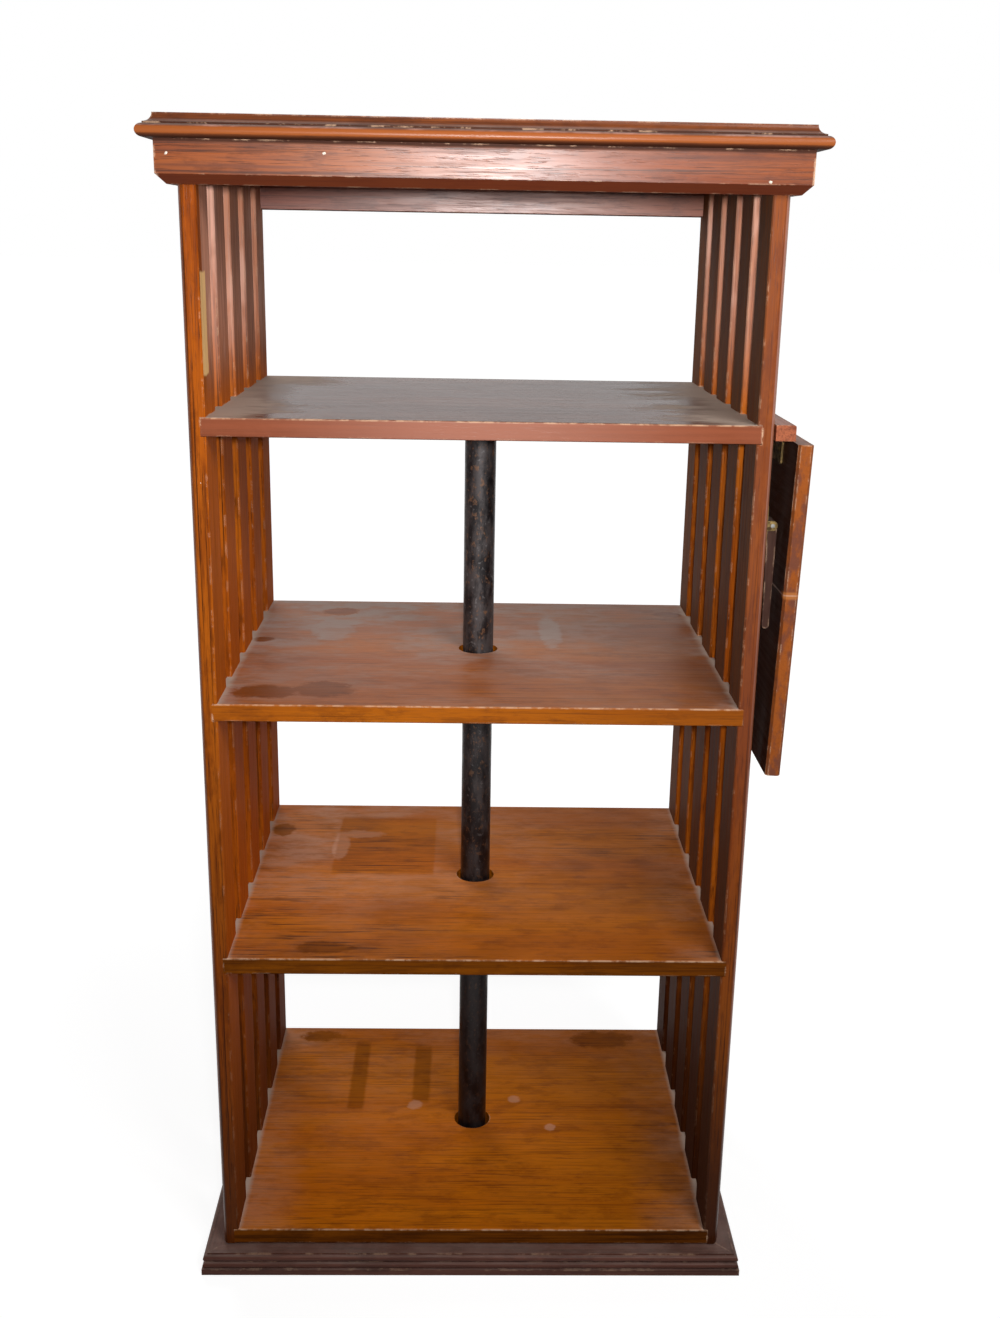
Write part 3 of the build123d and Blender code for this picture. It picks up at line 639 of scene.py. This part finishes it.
# Looks of the four boards:
# tones, gloss, specular level and figure are the wood's, with figure the strength of dark strokes;
# edge and edged are the colour of the front edge and its share, painted shade on all but the upper
# shelf, and the share after them how pale a painted highlight makes its middle;
# powder and dust are the dust's colour and share, front and right what is left of it there,
# haze is thin dust at the ends and the back, and ends how far thick dust drifts in from the ends;
# wiped and ghosts are ovals of less and more dust, by middle X and Y, half length and half width;
# strips are straight marks by X from and to, Y from and to; stripped and ghosted are strengths.
BOARD_LOOKS = {
    "upper_shelf": {
        "tones": UPPER_TONES, "gloss": 0.20, "specular": 0.030, "figure": 0.0,
        "edge": ROSE_COLOUR, "edged": 0.80, "rubbed_and_highlit": 0.55,
        "powder": DUST_COLOUR, "dust": 0.05, "front": 0.6, "right": 0.6, "haze": 0.0, "ends": 0.075,
        "wiped": (),
        "strips": (), "stripped": 0.0,
        "ghosts": (), "ghosted": 0.0,
    },
    "middle_shelf": {
        "tones": MIDDLE_TONES, "gloss": 0.38, "specular": 0.10, "figure": 0.3,
        "edge": PORE_AND_SHADE_COLOUR, "edged": 0.20, "rubbed_and_highlit": 0.0,
        "powder": DUST_COLOUR, "dust": 1.10, "front": 0.38, "right": 0.62, "haze": 0.7, "ends": 0.004,
        "wiped": (
            (-0.217, -0.168, 0.036, 0.022),
            (-0.160, -0.158, 0.032, 0.026),
            (-0.168, 0.157, 0.022, 0.018),
            (-0.246, 0.028, 0.013, 0.011),
            (0.235, 0.158, 0.018, 0.014),
        ),
        "strips": (), "stripped": 0.0,
        "ghosts": ((0.085, 0.070, 0.013, 0.072), (-0.168, 0.072, 0.024, 0.046)), "ghosted": 0.5,
    },
    "lower_shelf": {
        "tones": SHELF_TONES, "gloss": 0.42, "specular": 0.03, "figure": 0.75,
        "edge": PORE_AND_SHADE_COLOUR, "edged": 0.82, "rubbed_and_highlit": 0.0,
        "powder": POWDER_COLOUR, "dust": 0.85, "front": 0.12, "right": 0.08, "haze": 0.40, "ends": 0.002,
        "wiped": ((-0.243, 0.127, 0.015, 0.020), (-0.160, -0.185, 0.032, 0.014)),
        "strips": ((-0.165, -0.050, 0.010, 0.160),), "stripped": 0.06,
        "ghosts": ((-0.144, 0.115, 0.030, 0.012), (-0.165, 0.080, 0.010, 0.040)), "ghosted": 0.45,
    },
    "bottom_board": {
        "tones": SHELF_TONES, "gloss": 0.42, "specular": 0.02, "figure": 0.38,
        "edge": PORE_AND_SHADE_COLOUR, "edged": 0.92, "rubbed_and_highlit": 0.0,
        "powder": POWDER_COLOUR, "dust": 0.20, "front": 0.05, "right": 0.15, "haze": 0.42, "ends": 0.002,
        "wiped": ((0.178, 0.182, 0.042, 0.022), (-0.205, 0.188, 0.030, 0.014)),
        "strips": ((-0.152, -0.138, 0.030, 0.165), (-0.071, -0.055, 0.045, 0.155)), "stripped": 0.38,
        "ghosts": (
            (-0.072, 0.027, 0.009, 0.010),
            (0.054, 0.040, 0.008, 0.008),
            (0.097, -0.019, 0.007, 0.007),
        ),
        "ghosted": 0.45,
    },
}

# Figure of the boards: painted shade to the right, dark strokes in patches, and stains
SHELF_RIGHT_SHADE = (-0.10, 0.26, 0.0, 0.32)
FIGURE_NOISE = Noise((13.0, 330.0, 60.0), 4.0, 0.6, (0.2, 0.9, 0.0))
FIGURE_SPAN = (0.54, 0.63)
FIGURE_PATCH_NOISE = Noise((5.0, 7.0, 9.0), 3.0, 0.5, (1.3, 0.4, 0.0))
FIGURE_PATCH_SPAN = (0.44, 0.60)
STAIN_NOISE = Noise((5.5, 9.0, 30.0), 5.0, 0.62, (2.1, 0.7, 0.3))
STAIN_SPAN = (0.47, 0.62, 0.0, 0.3)


def shelf_figure(shader, colour, look):
    """Painted shade to the right, and dark strokes and stains in the wood of a board."""
    # Painted shade towards the right end
    colour = shader.blend(shader.span(shader.x, *SHELF_RIGHT_SHADE), colour, PORE_AND_SHADE_COLOUR)
    figure = shader.span(shader.noise(FIGURE_NOISE), *FIGURE_SPAN)
    patch = shader.span(shader.noise(FIGURE_PATCH_NOISE), *FIGURE_PATCH_SPAN)
    colour = shader.blend(shader.times(figure, patch, look["figure"]), colour, PORE_AND_SHADE_COLOUR)
    stain = shader.span(shader.noise(STAIN_NOISE), *STAIN_SPAN)
    return shader.blend(shader.times(stain, look["figure"]), colour, PORE_AND_SHADE_COLOUR)


# Front edge of the boards, a painted highlight in its middle, and the worn rim over it, by distance from
# the arris
EDGE_FACING = (0.5, 0.9)
EDGE_GRAIN = (0.7, 1.0)
EDGE_MIDDLE = (0.24, 0.02)
SHELF_WEAR = 0.9
RIM_NOISE = Noise((70.0, 70.0, 70.0), 4.0, 0.7, (0.3, 0.6, 0.1))
RIM_SPAN = (0.42, 0.58, 0.08, 0.6)
RIM_BELOW = (0.0020, 0.0008)
RIM_BEHIND = (0.0018, 0.0008)


def shelf_edge(shader, colour, streak, name, look):
    """The board's front edge: rose on the upper shelf and painted shade on the others, a painted
    highlight in the middle, worn along its upper arris.
    """
    # Painted shade on the front edges of all but the upper shelf, whose edge is rose
    edge = shader.span(shader.size(shader.facing_y), *EDGE_FACING, 0.0, look["edged"])
    front_tone = shader.times(edge, shader.span(streak, *POLISH_SPAN, *EDGE_GRAIN))
    colour = shader.blend(front_tone, colour, look["edge"])
    # A painted highlight in the middle of the upper shelf's front edge
    middle = shader.span(shader.size(shader.x), *EDGE_MIDDLE, 0.0, look["rubbed_and_highlit"])
    colour = shader.blend(shader.times(edge, middle), colour, PINK_HIGHLIGHT_COLOUR)
    colour = worn(shader, colour, SHELF_WEAR)
    low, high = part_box(name)
    rubbed_and_highlit = shader.span(shader.noise(RIM_NOISE), *RIM_SPAN)
    rim = shader.times(
        shader.span(shader.z, *(high.z - depth for depth in RIM_BELOW)),
        shader.span(shader.y, *(low.y + depth for depth in RIM_BEHIND)),
    )
    return shader.blend(shader.times(rim, rubbed_and_highlit), colour, WORN_COLOUR)


# Dust on the boards: clouds, smears, and its places by X and Y
SHELF_UPWARD = (0.7, 0.95)
CLOUD_NOISE = Noise((6.0, 11.0, 40.0), 5.0, 0.62)
CLOUD_SPAN = (0.40, 0.56, 0.35, 1.0)
SMEAR_NOISE = Noise((26.0, 60.0, 40.0), 5.0, 0.7)
SMEAR_SPAN = (0.38, 0.60, 0.55, 1.0)
DUST_TO_BACK = (-0.20, 0.16)
DUST_TO_LEFT = (0.24, -0.24)
HAZE_ENDS = (0.17, 0.26, 0.0, 0.8)
HAZE_BACK = (0.10, 0.21, 0.0, 0.6)

# Marks in the dust: their ragged rims, and how dark and how dusty a wiped place is
RAGGED_NOISE = Noise((60.0, 75.0, 60.0), 5.0, 0.72)
RAGGED_SWING = 2.4
WIPED_DARK = 0.42
WIPED_DUST = 0.05

# Thick dust in the gaps between the slats: where it starts and is full, by a margin at the slats'
# inner faces and a share of how far it drifts in, and its strength
DRIFT_START = (-0.003, -0.6)
DRIFT_FULL = (0.004, 0.3)
DRIFT_SHARE = 0.9


def shelf_dust(shader, colour, look):
    """Uneven dust with marks in it; returns the colour and how dusty the board is."""
    up = shader.span(shader.facing_z, *SHELF_UPWARD)
    cloud = shader.span(shader.noise(CLOUD_NOISE), *CLOUD_SPAN)
    smear = shader.span(shader.noise(SMEAR_NOISE), *SMEAR_SPAN)
    back = shader.span(shader.y, *DUST_TO_BACK, look["front"], 1.0)
    left = shader.span(shader.x, *DUST_TO_LEFT, look["right"], 1.0)
    ragged = shader.times(shader.noise(RAGGED_NOISE), RAGGED_SWING)
    wiped = shader.ovals(look["wiped"], ragged)
    colour = shader.blend(shader.times(wiped, up, WIPED_DARK), colour, PORE_AND_SHADE_COLOUR)
    strip = shader.strips(look["strips"], ragged)
    colour = shader.blend(shader.times(strip, up, look["stripped"]), colour, PORE_AND_SHADE_COLOUR)
    kept = shader.span(shader.most(wiped, strip), 0.0, 1.0, 1.0, WIPED_DUST)
    ghost = shader.times(shader.ovals(look["ghosts"], ragged), look["ghosted"])
    veil = shader.plus(shader.times(cloud, smear, back, left, kept, look["dust"]), ghost)
    outward = shader.size(shader.x)
    rims = shader.plus(shader.span(outward, *HAZE_ENDS), shader.span(shader.y, *HAZE_BACK))
    veil = shader.most(veil, shader.times(rims, cloud, smear, kept, look["haze"]))
    reach = shader.plus(outward, shader.times(cloud, smear, look["ends"]))
    start, full = (
        INNER_FACE + margin + share * look["ends"] for margin, share in (DRIFT_START, DRIFT_FULL)
    )
    drift = shader.span(reach, start, full, 0.0, DRIFT_SHARE)
    colour = shader.blend(shader.times(up, veil), colour, look["powder"])
    colour = shader.blend(shader.times(up, drift), colour, HAZE_COLOUR)
    return colour, shader.times(up, shader.most(veil, drift))


SHELF_CONTRAST = 0.6
SHELF_DULL = 0.05
SHELF_DEPTH = 0.00008


def shelf_wood(name, look):
    """Shelf boards under uneven dust, thick in the gaps between the slats, with marks wiped in it."""
    shader = Shader(f"{name}_wood")
    colour, height, streak = grain(shader, "X", look["tones"], SHELF_CONTRAST)
    colour = shelf_figure(shader, colour, look)
    colour = shelf_edge(shader, colour, streak, name, look)
    colour, dusty = shelf_dust(shader, colour, look)
    polish = shader.span(streak, *POLISH_SPAN, look["gloss"] + SHELF_DULL, look["gloss"])
    roughness = shader.plus(polish, shader.times(dusty, DIRT_AND_SHADE_DULL))
    return shader.close(colour, roughness, height, SHELF_DEPTH, look["specular"])


# Drop leaf: its blotched ends, painted shade on its inner face, the joint of its boards, and a chip at
# the joint's end
LEAF_NOISE = Noise((75.0, 75.0, 34.0), 4.0, 0.65)
LEAF_END_FACING = (0.5, 0.9)
LEAF_END_SHARE = 0.6
LEAF_BLOTCH_SPAN = (0.46, 0.62)
LEAF_BLOTCH_SHARE = 0.75
LEAF_INSIDE_FACING = (-0.6, -0.9, 0.0, 0.9)
LEAF_WEAR = 0.85
LEAF_DUST = 0.5
JOINT_NOISE = Noise((30.0, 30.0, 30.0), 3.0)
JOINT_WANDER = 0.0016
JOINT_BAND = (LEAF_JOINT + 0.0004, LEAF_JOINT + 0.0013, 0.0005)
JOINT_SHARE = 0.7
CHIP_BAND = (LEAF_JOINT - 0.002, LEAF_JOINT + 0.002, 0.003)
CHIP_DEEP = (CASE_FRONT + 0.022, CASE_FRONT + 0.010)
CHIP_SPAN = (0.44, 0.52)
CHIP_SHARE = 0.5
LEAF_POLISH = (0.50, 0.38)
LEAF_DEPTH = 0.0002
LEAF_SPECULAR = 0.08


def leaf_wood():
    """Drop leaf: painted shade on its inner face, mottled ends, and an open joint between its two
    boards.
    """
    shader = Shader("leaf_wood")
    colour, height, streak = grain(shader, "Y", LEAF_TONES)
    mottle = shader.noise(LEAF_NOISE)
    ends = shader.span(shader.size(shader.facing_y), *LEAF_END_FACING)
    colour = shader.blend(shader.times(ends, LEAF_END_SHARE), colour, LEAF_END_COLOUR)
    blotch = shader.times(ends, shader.span(mottle, *LEAF_BLOTCH_SPAN), LEAF_BLOTCH_SHARE)
    colour = shader.blend(blotch, colour, LEAF_BLOTCH_COLOUR)
    # Painted shade on the inner face, which faces the case
    colour = shader.blend(shader.span(shader.facing_x, *LEAF_INSIDE_FACING), colour, LEAF_INSIDE_SHADE_COLOUR)
    colour = worn(shader, colour, LEAF_WEAR)
    wander = shader.times(shader.noise(JOINT_NOISE), JOINT_WANDER)
    joint = shader.band(shader.plus(shader.z, wander), *JOINT_BAND)
    colour = shader.blend(shader.times(joint, JOINT_SHARE), colour, DUST_COLOUR)
    chip = shader.times(
        shader.band(shader.z, *CHIP_BAND),
        shader.span(shader.y, *CHIP_DEEP),
        shader.span(mottle, *CHIP_SPAN),
        CHIP_SHARE,
    )
    colour = shader.blend(chip, colour, LEAF_CHIP_COLOUR)
    colour, veil = dusted(shader, colour, LEAF_DUST)
    polish = shader.span(streak, *POLISH_SPAN, *LEAF_POLISH)
    roughness = shader.plus(polish, shader.times(veil, DUST_DULL))
    return shader.close(colour, roughness, height, LEAF_DEPTH, LEAF_SPECULAR)


# Black iron pipe: blotches of mill scale, rust and rubbed specks, and soot towards the floor
SCALE_NOISE = Noise((70.0, 70.0, 26.0), 5.0, 0.68)
SCALE_SPAN = (0.40, 0.62)
SPECK_NOISE = Noise((170.0, 170.0, 130.0), 4.0, 0.7)
RUST_SPAN = (0.55, 0.66, 0.0, 0.8)
RUBBED_SPAN = (0.40, 0.33, 0.0, 0.6)
SOOT_RISE = (0.80, 0.15, 0.0, 0.8)
IRON_ROUGH = (0.35, 0.7, 0.30, 0.55)
IRON_DEPTH = 0.0003
IRON_SPECULAR = 0.35
IRON_METALLIC = 0.35


def black_iron():
    """Pipe with mill scale, rust freckles and handling marks."""
    shader = Shader("black_iron")
    scale = shader.noise(SCALE_NOISE)
    speck = shader.noise(SPECK_NOISE)
    colour = shader.blend(shader.span(scale, *SCALE_SPAN), SCALE_DARK, SCALE_LIGHT)
    colour = shader.blend(shader.span(speck, *RUST_SPAN), colour, RUST_COLOUR)
    colour = shader.blend(shader.span(speck, *RUBBED_SPAN), colour, RUBBED_IRON_COLOUR)
    colour = shader.blend(shader.span(shader.z, *SOOT_RISE), colour, SOOT_COLOUR)
    roughness = shader.span(scale, *IRON_ROUGH)
    return shader.close(colour, roughness, speck, IRON_DEPTH, IRON_SPECULAR, IRON_METALLIC)


# Fittings: patina, and bright arrises
PATINA_NOISE = Noise((190.0, 190.0, 190.0), 4.0, 0.65)
PATINA_SPAN = (0.38, 0.68)
PATINA_ROUGH = (0.35, 0.7, 0.52, 0.34)
PATINA_DEPTH = 0.00012
FITTING_ARRIS = (0.0009, 0.985, 0.88)
FITTING_SHINE = 0.5


def dull_metal(name, dark, light, metallic):
    """Old fittings: bright on the arrises, tarnished between."""
    shader = Shader(name)
    patina = shader.noise(PATINA_NOISE)
    colour = shader.blend(shader.span(patina, *PATINA_SPAN), dark, light)
    arris = shader.edge(*FITTING_ARRIS)
    colour = shader.blend(shader.times(arris, FITTING_SHINE), colour, light)
    roughness = shader.span(patina, *PATINA_ROUGH)
    return shader.close(colour, roughness, patina, PATINA_DEPTH, metallic=metallic)


# Nail filler: pits
PIT_NOISE = Noise((900.0, 900.0, 900.0), 3.0, 0.6)
PIT_SPAN = (0.52, 0.38)
PIT_ROUGH = (0.3, 0.7, 0.8, 0.6)
PIT_DEPTH = 0.0002
FILLER_SPECULAR = 0.2


def filler():
    """Cream filler over the frieze's nails, gone grey in its pits."""
    shader = Shader("nail_filler")
    pit = shader.noise(PIT_NOISE)
    colour = shader.blend(shader.span(pit, *PIT_SPAN), FILLER_COLOUR, DUST_COLOUR)
    return shader.close(colour, shader.span(pit, *PIT_ROUGH), pit, PIT_DEPTH, FILLER_SPECULAR)


def dress(material, *names):
    """Puts one material on the named CAD nodes."""
    for name in names:
        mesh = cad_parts[name].data
        mesh.materials.clear()
        mesh.materials.append(material)


UPRIGHTS = [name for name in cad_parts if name.endswith("stile") or "_slat_" in name]
SCREWS = [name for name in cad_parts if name.endswith("screws") and "hinge" not in name]

steel = dull_metal("steel", STEEL_DARK, STEEL_LIGHT, STEEL_METALLIC)
brass = dull_metal("brass", BRASS_DARK, BRASS_LIGHT, BRASS_METALLIC)

dress(upright_wood(), *UPRIGHTS)
dress(frieze_wood("frieze_wood_long", "X"), "frieze_front", "frieze_back")
dress(frieze_wood("frieze_wood_deep", "Y"), "frieze_left", "frieze_right")
dress(top_wood(), "top_board")
dress(leaf_wood(), "leaf_upper_board", "leaf_lower_board")
for board_name, board_look in BOARD_LOOKS.items():
    dress(shelf_wood(board_name, board_look), board_name)
for wood_name, wood_look in PLAIN_WOODS.items():
    dress(plain_wood(wood_name, wood_look), *wood_look.nodes)
dress(black_iron(), "post", "floor_flange", "pivot_socket", "guide_plate")
dress(steel, "pivot_plug", "prop_pins", *SCREWS)
dress(
    brass,
    "hinge_cleat_plates", "hinge_leaf_plates", "hinge_pins", "prop_brackets",
    "hinge_cleat_screws", "hinge_leaf_screws",
)


def make_piece(name, shape, material, body):
    """Turns a finished bmesh into a piece that rides on a body."""
    bmesh.ops.recalc_face_normals(shape, faces=shape.faces)
    mesh = bpy.data.meshes.new(name)
    shape.to_mesh(mesh)
    shape.free()
    mesh.materials.append(material)
    piece = bpy.data.objects.new(name, mesh)
    bpy.context.scene.collection.objects.link(piece)
    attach(piece, body)


def skin_rings(shape, rings):
    """Joins closed rings of points into a skin with flat ends."""
    for lower, upper in zip(rings, rings[1:]):
        for step in range(len(lower)):
            after = (step + 1) % len(lower)
            shape.faces.new((lower[step], lower[after], upper[after], upper[step]))
    shape.faces.new(rings[0])
    shape.faces.new(rings[-1])


def solid_boxes(name):
    """Lowest and highest corner of each separate solid of a CAD node."""
    shape = bmesh.new()
    shape.from_mesh(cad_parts[name].data)
    bmesh.ops.remove_doubles(shape, verts=shape.verts, dist=WELD)
    loose = set(shape.verts)
    boxes = []
    while loose:
        found = [loose.pop()]
        for vert in found:
            near = {edge.other_vert(vert) for edge in vert.link_edges} & loose
            loose -= near
            found.extend(near)
        corners = [[pick(vert.co[axis] for vert in found) for axis in range(3)] for pick in (min, max)]
        boxes.append(tuple(Vector(corner) for corner in corners))
    shape.free()
    return boxes


def half_head(shape, seat, radius, side):
    """Half of a slotted head: a flat arc segment with a bevelled rim, on a seat frame."""
    slot = radius * HEAD_SLOT_SHARE / 2
    start = math.asin(slot / radius)
    rings = []
    for rise, shrink in HEAD_RINGS:
        ring = []
        for step in range(HEAD_STEPS + 1):
            angle = start + (math.pi - 2 * start) * step / HEAD_STEPS
            across = radius * shrink * math.cos(angle)
            up = max(radius * shrink * math.sin(angle), slot)
            ring.append(shape.verts.new(seat @ Vector((across, side * up, rise * HEAD_RISE))))
        rings.append(ring)
    skin_rings(shape, rings)


def slotted_heads(node, axis, sign, body, material):
    """Slotted heads over the screws of a node, facing along one axis, each at its own angle."""
    shape = bmesh.new()
    outward = Vector([sign if name == axis else 0.0 for name in "XYZ"])
    facing = outward.to_track_quat("Z", "Y").to_matrix()
    index = "XYZ".index(axis)
    boxes = sorted(solid_boxes(node), key=lambda box: tuple(round(v, SORT_DIGITS) for v in box[0]))
    for count, (low, high) in enumerate(boxes):
        place = (low + high) / 2
        place[index] = high[index] if sign > 0 else low[index]
        width = min(high[other] - low[other] for other in range(3) if other != index)
        turn = facing @ Matrix.Rotation(math.radians(HEAD_TURN * count), 3, "Z")
        seat = Matrix.Translation(place) @ turn.to_4x4()
        for side in (-1, 1):
            half_head(shape, seat, HEAD_SHARE * width / 2, side)
    make_piece(f"{node}_heads", shape, material, body)


def nail_ring(shape, count, centre, share, height):
    """One uneven ring of a cap of filler."""
    x, z = centre
    ring = []
    for step in range(NAIL_STEPS):
        angle = 2 * math.pi * step / NAIL_STEPS
        oval = NAIL_OVAL * math.sin(NAIL_OVAL_LOBES * angle + count)
        ragged = NAIL_RAGGED * math.sin(NAIL_RAGGED_LOBES * angle)
        reach = NAIL_RADIUS * share * (1 + oval + ragged)
        place = (x + reach * math.cos(angle), FRIEZE_FRONT - height, z + reach * math.sin(angle))
        ring.append(shape.verts.new(place))
    return ring


def nail_fillings():
    """Low, uneven caps of filler on the front of the frieze."""
    shape = bmesh.new()
    for count, centre in enumerate(NAIL_PLACES):
        rings = []
        for share, rise in NAIL_RINGS:
            rings.append(nail_ring(shape, count, centre, share, rise * NAIL_HEIGHT))
        skin_rings(shape, rings)
    make_piece("frieze_nail_fillings", shape, filler(), "case")


slotted_heads("cleat_screws", "X", 1, "case", steel)
slotted_heads("hinge_leaf_screws", "X", -1, "leaf", brass)
slotted_heads("hinge_cleat_screws", "Z", -1, "case", brass)
nail_fillings()


def make_camera():
    """Places the camera as it was fitted to the corners of the shelves and the case."""
    yaw, pitch, roll = (math.radians(v) for v in (CAMERA_YAW, CAMERA_PITCH, CAMERA_ROLL))
    ahead = Vector((math.sin(yaw), math.cos(yaw), 0.0)) * math.cos(pitch)
    forward = ahead - Vector((0.0, 0.0, math.sin(pitch)))
    level = Vector((math.cos(yaw), -math.sin(yaw), 0.0))
    upward = level.cross(forward)
    right = math.cos(roll) * level + math.sin(roll) * upward
    top = math.cos(roll) * upward - math.sin(roll) * level
    turn = Matrix((right, top, -forward)).transposed()
    data = bpy.data.cameras.new("camera")
    data.sensor_width = SENSOR_MM
    data.lens = FOCAL_PX * SENSOR_MM / PHOTO_HEIGHT_PX
    camera = bpy.data.objects.new("camera", data)
    camera.matrix_world = Matrix.Translation(CAMERA_PLACE) @ turn.to_4x4()
    bpy.context.scene.collection.objects.link(camera)
    bpy.context.scene.camera = camera


def make_lamp(name, lamp):
    """A square soft box that faces its aim."""
    data = bpy.data.lights.new(name, "AREA")
    data.size = lamp.size
    data.energy = lamp.watts
    data.spread = math.radians(lamp.spread)
    place = Vector(lamp.place)
    box = bpy.data.objects.new(name, data)
    box.location = place
    box.rotation_euler = (Vector(lamp.aim) - place).to_track_quat("-Z", "Y").to_euler()
    box.visible_camera = False
    box.visible_glossy = lamp.reflected
    bpy.context.scene.collection.objects.link(box)


def seen_directly(tree):
    """One for camera, glossy and transmission rays."""
    rays = tree.nodes.new("ShaderNodeLightPath")
    total = rays.outputs["Is Camera Ray"]
    for key in ("Is Glossy Ray", "Is Transmission Ray"):
        node = tree.nodes.new("ShaderNodeMath")
        node.operation = "MAXIMUM"
        tree.links.new(total, node.inputs[0])
        tree.links.new(rays.outputs[key], node.inputs[1])
        total = node.outputs[0]
    return total


def make_sky():
    """Even light all round, white where it is seen."""
    world = bpy.data.worlds.new("sky")
    world.use_nodes = True
    tree = world.node_tree
    background = tree.nodes["Background"]
    background.inputs["Color"].default_value = (1, 1, 1, 1)
    strength = tree.nodes.new("ShaderNodeMapRange")
    tree.links.new(seen_directly(tree), strength.inputs[0])
    for socket, number in zip(strength.inputs[1:], (0.0, 1.0, SKY_LEVEL, SKY_SEEN)):
        socket.default_value = number
    tree.links.new(strength.outputs[0], background.inputs["Strength"])
    bpy.context.scene.world = world


def floor_paint():
    """Pale and matt, with a glow that reads white but lets the shadow show near the object."""
    shader = Shader("floor_pale")
    distance = shader.add("ShaderNodeVectorMath", operation="LENGTH")
    shader.feed(distance.inputs[0], shader.place)
    level = shader.span(
        distance.outputs["Value"], FLOOR_NEAR, FLOOR_FAR, FLOOR_GLOW_NEAR, FLOOR_GLOW_FAR
    )
    glow = shader.add("ShaderNodeEmission")
    shader.feed(glow.inputs["Strength"], shader.times(seen_directly(shader.tree), level))
    diffuse = shader.add("ShaderNodeBsdfDiffuse")
    diffuse.inputs["Color"].default_value = FLOOR_COLOUR
    both = shader.add("ShaderNodeAddShader")
    shader.feed(both.inputs[0], diffuse.outputs[0])
    shader.feed(both.inputs[1], glow.outputs[0])
    output = shader.add("ShaderNodeOutputMaterial")
    shader.feed(output.inputs["Surface"], both.outputs[0])
    return shader.material


def make_floor():
    """A pale floor that reads white and keeps the shadow."""
    mesh = bpy.data.meshes.new("floor")
    corners = [(x * FLOOR_REACH, y * FLOOR_REACH, 0.0) for x, y in ((-1, -1), (1, -1), (1, 1), (-1, 1))]
    mesh.from_pydata(corners, [], [(0, 1, 2, 3)])
    mesh.materials.append(floor_paint())
    floor = bpy.data.objects.new("floor", mesh)
    bpy.context.scene.collection.objects.link(floor)


make_camera()
for lamp_name, lamp_look in LAMPS.items():
    make_lamp(lamp_name, lamp_look)
make_sky()
make_floor()
bpy.context.scene.view_settings.view_transform = "Standard"
